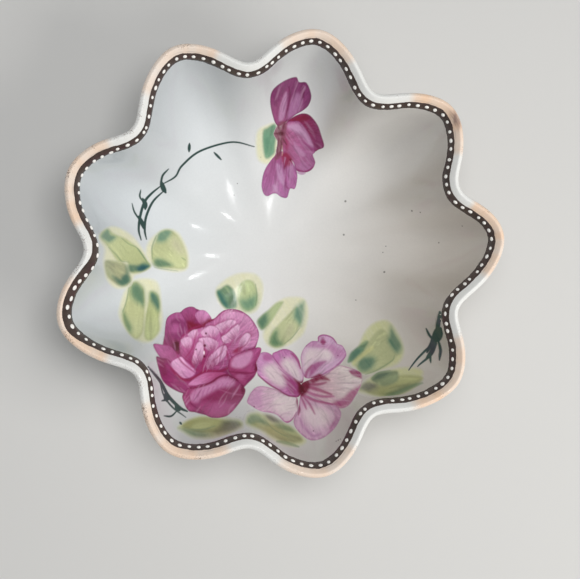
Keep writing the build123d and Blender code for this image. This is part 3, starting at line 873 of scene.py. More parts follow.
def rose_wing(p):
    """The big petal at the upper right."""
    p.petal(ROSE_WING, (-34, -56), (168, 76, 128), (206, 138, 180), (152, 64, 116), 1.2, 0.5, seed=44)
    for k, (outline, root) in enumerate([
        ([(-30, -38), (-26, -35.2), (-20, -35), (-14, -37.5), (-10.5, -43), (-9.5, -49), (-12, -50),
          (-14, -44), (-19, -39.5), (-26, -39.5)], (-22, -56)),
        ([(-34, -43.5), (-29, -41), (-24, -39.5), (-21, -41), (-24, -44), (-29, -47), (-32.5, -47.5)],
          (-24, -50)),
        ([(-30.3, -50.2), (-27, -48), (-23, -44.5), (-20, -42.5), (-18.8, -44.5), (-20, -48.5),
          (-24, -52.5), (-28, -53.5)], (-18, -55)),
        ([(-19.5, -53.5), (-17.5, -50), (-14.8, -47.5), (-12.5, -49), (-13, -53), (-16, -56), (-19, -56.5)],
          (-20, -60)),
    ]):
        light = (212, 148, 188) if k < 1 else (228, 182, 212)
        p.tongue(outline, root, 140 + 3 * k, light)
    for points, width in [
        ([(-27, -56), (-22, -52.5), (-18, -49.5)], 1.0),
        ([(-20, -57.5), (-15, -54), (-12, -49)], 0.8),
    ]:
        p.stroke(points, width, (158, 58, 108), 0.6, 0.6)
    p.glow((-20.5, -57.8), (3.6, 1.8), 30, (150, 36, 76), 0.85)
    p.stroke([(-33, -38), (-28, -34), (-22, -33.4), (-17, -35)], 1.2, (132, 44, 92), 0.5, 0.6)


def rose_heart(p):
    """The heart, folded round itself."""
    p.petal(ROSE_HEART, (-43, -68), (150, 52, 104), (190, 110, 160), (144, 52, 102), 1.0, 0.5, seed=45)
    for k, (outline, root) in enumerate([
        ([(-50.5, -47.8), (-48, -45.5), (-45, -45), (-44.5, -48), (-46.5, -51), (-49, -49.8)], (-45, -55)),
        ([(-54.8, -51), (-52, -49.3), (-49.3, -49.3), (-48, -52), (-49, -56), (-52.5, -55)], (-49, -60)),
        ([(-42.5, -46.5), (-38, -43.2), (-34.5, -43.3), (-31.5, -46), (-33.5, -50), (-38, -51),
          (-41, -49.5)], (-34, -55)),
        ([(-44, -51), (-40.5, -49.8), (-36, -50.5), (-32, -53.5), (-33.5, -58), (-38, -57.5), (-42, -55)],
          (-34, -62)),
        ([(-45, -53), (-42.2, -53), (-41, -58), (-42, -63), (-46, -67.3), (-48.3, -64), (-46.8, -58.5)],
          (-42, -71)),
        ([(-39.5, -67), (-37.5, -61.5), (-32.5, -57), (-28.5, -54.7), (-26.8, -57), (-28.5, -61.5),
          (-33, -66), (-37, -69)], (-34, -73)),
    ]):
        p.tongue(outline, root, 160 + 3 * k)
    for points, width in [
        ([(-54, -48.5), (-50, -45.5), (-46, -43.5), (-42, -42.5)], 1.0),
        ([(-45, -46), (-46.5, -51), (-48, -56), (-52, -61)], 0.9),
        ([(-41, -52), (-40.3, -58), (-41.5, -64), (-42, -69)], 1.2),
        ([(-36, -64), (-31, -60), (-29, -55), (-28, -52)], 0.8),
        ([(-27, -58), (-26, -63), (-24, -67)], 1.6),
        ([(-50, -62), (-46, -68), (-41, -70)], 1.2),
    ]:
        p.stroke(points, width, (150, 44, 92), 0.6, 0.7)
    for centre, radius in [
        ((-40.3, -54.6), 1.0),
        ((-39.5, -47.4), 0.8),
        ((-45.6, -56.6), 0.6),
        ((-40.6, -61), 0.8),
    ]:
        p.glow(centre, (radius, radius), 0, (92, 20, 46), 0.9)
    p.glow((-40.8, -58.8), (0.6, 1.3), 0, (250, 226, 240), 0.95)


def rose_outer_petals(p):
    """The outer petals at the left."""
    p.petal([(-71, -52.3), (-66, -52.6), (-61, -54), (-57.5, -58), (-54, -61), (-50, -66), (-46, -71),
        (-52, -74), (-58, -70), (-63, -64), (-68, -58.5)], (-48, -74), (160, 68, 120), (176, 92, 144),
        (152, 66, 118), 1.0, 0.45, seed=46)
    p.petal([(-69.4, -59), (-66, -60), (-62.5, -61), (-58, -66), (-53, -72), (-48, -74.5), (-43, -76.5),
        (-47, -79.5), (-53, -81.3), (-60, -78), (-65.5, -73), (-68, -66)], (-46, -79), (150, 58, 110),
        (136, 48, 96), (120, 40, 84), 1.2, 0.35, seed=47)
    p.glow((-65.5, -66), (2.2, 5.5), 15, (122, 40, 76), 0.8)
    p.petal([(-60.8, -63), (-57.5, -61), (-54.5, -60.3), (-52, -63), (-49, -66), (-46, -69.3),
        (-48.5, -72.3), (-53.5, -72.7), (-57.5, -69), (-60.5, -65.5)], (-47, -73), (206, 138, 184),
        (222, 170, 206), (190, 110, 162), 0.8, 0.4, seed=48, shading=True)
    p.stroke([(-58, -57), (-55.5, -62), (-51, -66.5), (-46.5, -70)], 1.0, (150, 46, 98), 0.5, 0.75)
    p.stroke([(-61, -66), (-57, -71), (-52, -74), (-46, -72.5), (-40, -69.6), (-31, -69.8), (-24, -66.5)],
        1.7, (142, 34, 76), 0.7, 0.85)


def rose_band(p):
    """The band under the heart."""
    p.petal([(-51, -76.8), (-46, -72.8), (-40, -70.4), (-34, -70.2), (-28, -71), (-33, -73.8), (-38, -76),
        (-45, -77.6)], (-30, -70), (176, 76, 126), (204, 132, 178), (168, 74, 124), 0.8, 0.35, seed=49)


def rose_pointed_petal(p):
    """The pointed petal at the right."""
    p.petal([(-26, -64.5), (-23, -61), (-18, -58.8), (-12.5, -57.3), (-8.5, -56), (-6.2, -57), (-7.3, -61),
        (-9.5, -65), (-9, -69), (-11.5, -72), (-15, -74.5), (-18, -78.3), (-22, -75), (-26, -70)],
        (-26, -72), (162, 62, 110), (176, 86, 138), (140, 50, 96), 1.1, 0.35, seed=50)
    p.wash([(-24.5, -67), (-23, -62.5), (-18, -60), (-12.5, -58.5), (-12, -61.5), (-14.5, -65.5),
        (-19, -68)], (216, 154, 194), 1.2, 0.85)
    p.glow((-19.5, -73), (3.0, 2.2), 0, (190, 106, 154), 0.7)
    p.glow((-9.7, -67.5), (1.8, 3.6), 8, (104, 18, 48), 0.9)
    p.stroke([(-26, -70), (-20, -70.6), (-13, -70.8), (-9.5, -69.5)], 1.3, (128, 30, 74), 0.6, 0.75)
    p.stroke([(-12.5, -69), (-9.6, -63), (-7, -58)], 2.0, (150, 54, 104), 0.8, 0.7)


def rose_front(p):
    """The big petal in front."""
    p.petal(ROSE_FRONT, (-36, -88), (172, 74, 126), (158, 62, 112), (122, 36, 80), 1.2, 0.3, seed=51)
    p.wash([(-50, -84), (-47, -80), (-41, -77.8), (-36, -76.3), (-31, -73.8), (-26, -74), (-23, -76),
        (-26, -79), (-33, -80), (-40, -83), (-46, -86.5)], (212, 148, 190), 1.5, 0.8)
    for k in range(9):
        x = -48.5 + 2.7 * k
        p.stroke([(x, -86.5 + 0.65 * k), (x + 1.2, -83 + 0.75 * k), (x + 2.4, -80.5 + 0.6 * k)], 0.6,
            (176, 88, 140), 0.5, 0.5)
    p.wash([(-44, -85.5), (-38, -82.5), (-32, -79.5), (-26, -78.5), (-19, -79.5), (-19, -83.5), (-26, -86),
        (-36, -86.5)], (140, 38, 84), 1.8, 0.75)
    p.stroke([(-32, -80), (-26, -82), (-19, -82.8)], 0.8, (186, 102, 146), 0.5, 0.6)
    p.wash([(-39, -90), (-34, -87), (-27, -87), (-24, -89.5), (-30, -93), (-37, -93)], (184, 92, 144), 1.6,
        0.7)
    p.stroke([(-53, -83), (-51.8, -87), (-49, -90.5)], 1.5, (176, 84, 132), 0.6, 0.7)
    p.stroke([(-50.3, -82), (-49.5, -86.5), (-46, -89.5), (-42, -91.5)], 1.0, (128, 34, 80), 0.5, 0.7)
    p.stroke([(-50, -79), (-43, -78), (-36.5, -75.8), (-32, -73), (-27, -72), (-21, -75)], 1.1,
        (124, 28, 66), 0.5, 0.85)
    p.glow((-18.6, -80), (1.4, 3.2), 0, (110, 26, 58), 0.8)


def paint_rose():
    p = Painting((-72.5, -96.5), (-5.0, -30.0))
    p.wash(ROSE_GROUND, ROSE_DEEP, 0.4, shading=False)
    for part in (rose_bud, rose_wing, rose_heart, rose_outer_petals, rose_band, rose_pointed_petal,
            rose_front):
        part(p)
    for outline, along, colour, count in [
        (ROSE_FRONT, (7, 9), (184, 96, 146), 46),
        (ROSE_WING, (6, 9), (204, 136, 180), 44),
        (ROSE_HEART, (4, 9), (190, 116, 164), 30),
        (ROSE_OUTER_LEFT, (9, -8), (154, 62, 116), 26),
        (ROSE_BUD, (-2, 8), (150, 66, 116), 16),
    ]:
        p.brushwork(outline, along, colour, PETAL_LIGHT, 200 + count, count, (0.3, 1.1), 0.42)
    p.film("painted_rose", rose_enamel, "rose_enamel", "rose", 0.05, CRISP)


BLOOM_CENTRE = (18, -80)


def bloom_petals(p):
    """The five petals, each a brushed ground with lighter and darker washes over it."""
    p.petal([(-16.8, -86), (-13, -80.5), (-8, -78.3), (0, -80.2), (8, -84), (14, -85.5), (14, -92),
        (13, -94), (9.5, -98), (5.5, -98.7), (0, -94), (-9, -91.5), (-14.5, -88.5)], BLOOM_CENTRE,
        (230, 216, 216), (206, 164, 190), (178, 104, 154), 1.1, 0.3, seed=61)
    p.wash([(1, -86), (8, -86), (13, -88.5), (12, -93), (6, -94.5), (0, -91)], (232, 216, 216), 2.8, 0.85)
    p.wash([(-15.5, -86.5), (-12.5, -81.5), (-7.5, -80), (-8, -85), (-9, -90)], (196, 142, 180), 1.8, 0.7)
    p.stroke([(13, -94), (9.5, -98), (5, -98.6), (1.5, -96)], 1.2, (166, 72, 128), 0.5, 0.8)
    p.petal([(0.5, -61), (-3.5, -59), (-7.5, -60), (-9.6, -65), (-9, -72), (-2, -78), (4, -81.5),
        (9, -84.5), (15, -85.2), (18, -80), (12, -72), (5, -66)], BLOOM_CENTRE, (196, 120, 172),
        (204, 148, 190), (170, 88, 144), 1.1, 0.3, seed=62)
    p.wash([(1, -66), (5, -69), (8.5, -74), (7, -79), (2.5, -78.5), (-4, -73), (-5, -68)], (232, 216, 216),
        2.8, 0.85)
    p.wash([(6, -72.5), (9.5, -73.5), (14, -76), (17, -80), (14.5, -84.5), (9.5, -82.5), (8.5, -77)],
        (160, 66, 120), 1.3, 0.85)
    p.stroke([(-9, -72), (-3, -77.3), (3, -81), (9, -84.5), (15, -85)], 0.9, (140, 50, 96), 0.35, 0.85,
        taper=0.3, shading=False)
    p.wash([(-5, -60.5), (-2, -59.8), (0.5, -62), (-1, -64), (-5, -63.5)], (180, 92, 150), 1.2, 0.8)
    p.petal([(0.5, -61), (4, -58.5), (8.5, -57.3), (13, -59), (16.3, -63), (17.7, -68), (19, -73),
        (17.5, -77.5), (12, -74), (6, -69)], BLOOM_CENTRE, (214, 176, 204), (196, 124, 176), (158, 66, 124),
        1.2, 0.3, seed=63)
    p.wash([(6, -66.5), (9.5, -63), (14, -65), (17, -71), (16.5, -76), (11.5, -72.5)], (232, 216, 216), 2.6,
        0.85)
    p.stroke([(4, -68.5), (7.5, -71.5), (12.5, -74.5)], 0.7, (170, 96, 146), 0.4, 0.7)
    p.stroke([(12, -60), (14, -61.5), (16.2, -65), (17.3, -69)], 1.3, (162, 62, 118), 0.5, 0.8)
    p.petal([(19.5, -74), (18, -66), (18, -61), (20.5, -56), (24.5, -52.7), (28, -52.5), (28.5, -50),
        (32, -48.8), (37, -50.5), (39.3, -54), (42.5, -55.5), (44.2, -60), (42, -63.5), (37, -68),
        (31.5, -71.5), (26, -74)], BLOOM_CENTRE, (214, 178, 204), (206, 166, 196), (168, 90, 146), 1.1, 0.3,
        seed=64)
    p.wash([(19.5, -68), (19.8, -61), (23, -57), (29, -57.5), (33, -57), (36, -60), (34, -64), (28, -64),
        (23, -66), (20.5, -70)], (232, 216, 216), 2.8, 0.85)
    p.wash([(22, -56), (26, -53), (30, -55), (36, -54.5), (40, -57), (42.5, -58), (43, -61), (38, -62.5),
        (34, -58), (28, -56.5)], (184, 108, 160), 1.4, 0.55)
    p.glow((31, -53), (1.9, 2.6), 0, (144, 44, 96), 0.9)
    p.stroke([(28.3, -52.5), (28.8, -50), (32, -49), (36.5, -50.5), (39, -53.5)], 0.9, (160, 72, 130), 0.4,
        0.8, taper=0.3, shading=False)
    p.wash([(22.5, -70.5), (24.5, -66.5), (27.5, -64.8), (32, -64.3), (28.5, -67.5), (25, -71.5),
        (22, -74)], (170, 84, 138), 1.0, 0.8)
    p.stroke([(30, -71.5), (36, -67.8), (41, -63.5)], 0.7, (168, 92, 146), 0.4, 0.7)
    p.petal([(17.5, -78), (22, -75.5), (27, -73.5), (31, -72), (36, -68), (39, -66.5), (44, -67.5),
        (50, -69.8), (51, -72), (49, -77), (44.5, -82.5), (40.5, -87.5), (36.5, -90), (31, -88.8),
        (23, -85), (17.5, -82.5)], (14, -80), (206, 160, 180), (226, 214, 208), (180, 118, 154), 0.9, 0.25,
        seed=65)
    p.wash([(44, -69.5), (47, -68.6), (50.5, -70), (50.5, -72.5), (49.5, -73.5), (45.5, -71.8)],
        (146, 46, 98), 0.9, 0.95)
    p.wash([(36.5, -89.5), (33, -88), (38, -84.5), (42, -80.5), (45.5, -78.5), (48.5, -77), (45.5, -82),
        (41, -87)], (168, 76, 124), 1.2, 0.85)
    p.petal([(17, -83), (20, -84), (27, -87), (33, -88), (36, -90.5), (36, -94.5), (32.5, -101),
        (26.5, -106.5), (20, -108.3), (15, -106), (11.5, -102), (10.7, -98), (13, -94.3), (14.5, -91)],
        (17, -81), (212, 172, 194), (206, 166, 190), (172, 108, 150), 1.3, 0.35, seed=66)
    p.wash([(17, -93), (22, -91), (28, -91), (33, -93.5), (30, -99), (23, -102), (18, -98.5)],
        (230, 212, 214), 2.8, 0.8)
    p.stroke([(14.5, -97), (16.5, -102), (21, -106), (25, -105)], 1.5, (176, 116, 160), 0.9, 0.7)
    p.stroke([(34, -92), (34, -96), (30.5, -101.5)], 1.3, (160, 80, 130), 0.8, 0.7)
    for outline, along, count in [
        ([(-16, -86), (-8, -79), (8, -84), (13, -92), (5, -98), (-9, -91)], (12, 2), 26),
        ([(0, -61), (-8, -61), (-9, -71), (3, -81), (14, -84), (14, -74)], (9, -9), 26),
        ([(2, -61), (9, -58), (16, -63), (18, -74), (12, -73)], (5, -10), 16),
        ([(20, -72), (19, -60), (26, -53), (40, -55), (43, -61), (31, -71)], (-8, -8), 26),
        ([(20, -78), (36, -69), (50, -70), (45, -82), (36, -89), (20, -83)], (-12, 0), 30),
        ([(15, -85), (33, -89), (36, -95), (27, -106), (16, -106), (11, -98)], (-4, 10), 30),
    ]:
        p.brushwork(outline, along, (206, 166, 190), PETAL_LIGHT, 260 + count, count, (0.3, 1.0), 0.3)


def bloom_heart(p):
    """The dark heart and the rays that run out of it."""
    for points, width, colour in [
        ([(19, -79), (25, -80.5), (33, -83)], 2.2, (158, 58, 104)),
        ([(20, -78), (26, -78), (31, -76.5)], 1.8, (150, 50, 96)),
        ([(19, -82), (27, -84.5), (34, -84)], 1.6, (172, 84, 130)),
        ([(17, -84), (24, -87), (33, -88.5)], 1.6, (164, 70, 116)),
        ([(17, -84), (21, -89), (23.5, -94.5)], 1.3, (164, 78, 122)),
        ([(16, -84), (18, -89), (19, -92)], 1.3, (168, 80, 124)),
        ([(15.5, -84), (14, -88), (15, -92), (14, -95)], 1.5, (138, 42, 84)),
        ([(19.5, -76), (21, -71), (24, -67)], 1.8, (160, 68, 118)),
    ]:
        p.stroke(points, width, colour, 0.7, 0.8)
    p.wash([(22, -75), (25, -73), (28, -71.6), (31, -73.2), (33, -75.3), (28, -75.5), (24, -77.5)],
        (134, 34, 70), 0.9, 0.9)
    p.wash([(13, -74.8), (16, -76.5), (19.5, -75.5), (22, -76), (22, -79.5), (20, -83), (17, -85),
        (15, -82.5), (15, -78.5)], (118, 30, 54), 1.0, 0.95)
    p.glow((17.3, -80.5), (1.8, 3.4), 0, (86, 24, 34), 0.8)
    p.glow((22.3, -75), (1.0, 0.5), 45, (236, 222, 220), 0.8)
    for centre_dot, radius in [
        ((21, -55.2), 0.5),
        ((-13, -89), 0.5),
        ((39, -61), 0.35),
        ((8, -62.5), 0.4),
        ((21.5, -103.5), 0.4),
    ]:
        p.glow(centre_dot, (radius, radius), 0, (96, 40, 70), 0.9)


def paint_bloom():
    p = Painting((-18.5, -110.0), (53.0, -47.0))
    bloom_petals(p)
    bloom_heart(p)
    p.film("painted_pale_bloom", pale_petal_enamel, "pale_petal_enamel", "pale_bloom", 0.04, CRISP)


HALF_FLOWER_KNOT = (5, 68)


def half_flower_petals(p):
    """Four petals seen from the side, two above the knot and two below it."""
    p.petal([(3.5, 77), (0, 82), (-2.7, 90), (-1.5, 95.5), (5, 100.7), (12, 103.3), (14.5, 101),
        (19, 100.5), (22.3, 94), (21.5, 89), (18.5, 86), (14, 83.5), (9.5, 80)], (5, 75), (164, 84, 128),
        (138, 62, 110), (118, 46, 90), 1.3, 0.5, seed=71)
    p.wash([(4, 80), (4, 87), (6, 94), (7.6, 95), (8, 88), (6.8, 81)], (200, 144, 180), 0.9, 0.85)
    p.wash([(9.5, 82), (10, 89), (13, 95), (16, 94), (17.5, 88), (14, 84)], (182, 122, 164), 1.6, 0.8)
    p.stroke([(8.5, 78), (8.8, 85), (9.8, 93), (8.5, 98)], 1.2, (118, 38, 80), 0.6, 0.8)
    p.glow((17.4, 95.5), (1.2, 3.8), 8, (116, 40, 82), 0.8)
    p.glow((1.5, 93), (3.0, 6.0), -20, (122, 42, 92), 0.6)
    p.petal([(9, 79), (13, 82.5), (18, 84.3), (22.5, 83), (27, 77.5), (29.5, 71), (31.3, 64.7), (28.5, 63),
        (25.5, 62.5), (21, 71), (16, 77)], (12, 76), (146, 46, 84), (152, 66, 112), (126, 36, 80), 1.1,
        0.45, seed=72)
    p.wash([(11, 79.5), (15, 82.5), (20, 83.5), (23, 81), (18, 80)], (138, 34, 60), 1.2, 0.8)
    p.petal([(6, 76), (9, 79.3), (13, 80), (17, 79.5), (21.5, 74), (25, 67), (26.5, 62), (25.3, 60),
        (26.8, 55.5), (25, 51.5), (21, 49.8), (16, 51), (14, 56), (10, 60), (7, 64)], HALF_FLOWER_KNOT,
        (184, 104, 144), (188, 112, 158), (150, 66, 118), 1.1, 0.45, seed=73)
    p.wash([(9, 77), (13, 78.5), (17, 78), (21, 73.5), (25, 65.5), (23, 65), (19, 71), (14, 74)],
        (214, 162, 196), 1.3, 0.85)
    p.wash([(14, 68), (16, 66), (20, 62), (21, 60), (18.5, 59.5), (15, 63)], (206, 146, 184), 1.0, 0.8)
    p.wash([(17, 69), (20, 68), (25, 64.5), (25, 62.5), (21, 63.5)], (162, 64, 122), 1.0, 0.8)
    p.wash([(8.5, 73), (10.5, 73), (11, 66), (9.5, 63), (8, 68)], (160, 52, 92), 1.5, 0.75)
    p.wash([(19, 56), (23, 53.5), (24.5, 52.5), (21, 51.2), (17.5, 53)], (196, 128, 172), 1.0, 0.7)
    p.stroke([(16, 52), (19, 50.5), (22.5, 50.6), (25.8, 53)], 1.1, (146, 44, 100), 0.5, 0.8)
    p.wash([(16, 50), (19, 48.4), (21.5, 49.2), (19, 50.2)], (206, 160, 190), 0.5, 0.9, shading=False)
    p.petal([(5, 62), (0, 57), (-4, 50), (-5.3, 42), (-4, 37), (-1.5, 35.5), (1.5, 37), (4, 37), (7, 35),
        (10.5, 34.8), (12.3, 40), (15, 40), (16.3, 44), (16.3, 50), (13, 57), (9, 62)], HALF_FLOWER_KNOT,
        (172, 92, 138), (186, 112, 162), (156, 80, 134), 1.0, 0.5, seed=74)
    p.wash([(3.5, 55), (6, 54), (8, 49), (8.7, 43), (7.2, 43), (4.5, 48)], (204, 150, 188), 0.9, 0.85)
    p.wash([(1.5, 42), (3.5, 42), (6, 37.5), (8, 35.8), (4.5, 37)], (200, 146, 186), 0.9, 0.6)
    p.wash([(11.5, 57.5), (13.2, 57), (14.5, 50), (13.5, 46.5), (11.3, 50)], (192, 132, 172), 0.9, 0.75)
    p.stroke([(9.5, 58), (9.5, 50), (9.8, 42), (11.8, 40)], 1.2, (150, 62, 114), 0.6, 0.7)
    p.wash([(6.5, 60.5), (10, 62), (13.5, 58), (12.5, 54.5), (8.5, 54)], (154, 44, 74), 1.4, 0.85)
    p.glow((8.7, 53), (0.9, 1.6), 0, (140, 36, 70), 0.8)
    p.glow((12.3, 57.6), (0.8, 0.9), 0, (112, 20, 40), 0.8)
    for outline, along, colour, count in [
        ([(3, 78), (-1, 88), (0, 97), (12, 102), (20, 97), (20, 88), (12, 83)], (3, 11), (160, 86, 130), 34),
        ([(13, 81), (20, 84), (27, 77), (31, 65), (26, 64), (20, 74)], (6, -8), (150, 62, 108), 22),
        ([(8, 76), (17, 78), (25, 66), (26, 55), (20, 50), (12, 60)], (7, -9), (188, 118, 160), 34),
        ([(7, 60), (-3, 50), (-4, 38), (3, 37), (14, 41), (15, 52)], (-1, -11), (180, 104, 154), 34),
    ]:
        p.brushwork(outline, along, colour, PETAL_LIGHT, 240 + count, count, (0.3, 1.1), 0.42)
    p.deepen((0.82, 0.86, 0.88))


def half_flower_knot(p):
    """The stem end and the knot at its head."""
    p.wash([(3.4, 77.8), (6, 79.8), (9.2, 78.8), (8.5, 70), (7, 64), (5.5, 58.5), (2.5, 57.5), (2.8, 62),
        (3.6, 68), (1, 72.3)], (132, 74, 92), 0.9, 0.9, shading=False)
    p.glow((5.8, 73), (2.8, 1.6), 0, (88, 34, 46), 0.95)
    for points in [
        [(5, 73), (2.5, 72.6), (1, 72.8)],
        [(4.5, 70), (4, 64), (4.5, 59.5)],
        [(6, 70), (6.3, 65), (5.5, 60)],
        [(7, 70), (8.5, 68), (9.5, 66.5)],
        [(4.5, 75), (3.4, 77.5)],
        [(7, 75), (7.6, 79)],
    ]:
        p.stroke(points, 0.8, (98, 48, 60), 0.35, 0.8)
    p.stroke([(6.8, 66), (7.3, 62.5), (7, 60)], 0.6, (190, 150, 140), 0.3, 0.8)


def paint_half_flower():
    p = Painting((-8.0, 33.0), (33.5, 105.5))
    half_flower_petals(p)
    half_flower_knot(p)
    p.film("painted_half_flower", rose_enamel, "rose_enamel", "half_flower", 0.05, CRISP)


# ---------------------------------------------------------------- painted leaves
LEAF_PALE = (222, 220, 180)
LEAF_OLIVE = (200, 202, 146)
LEAF_GREEN = (196, 204, 150)
VEIN_GREEN = (110, 138, 102)
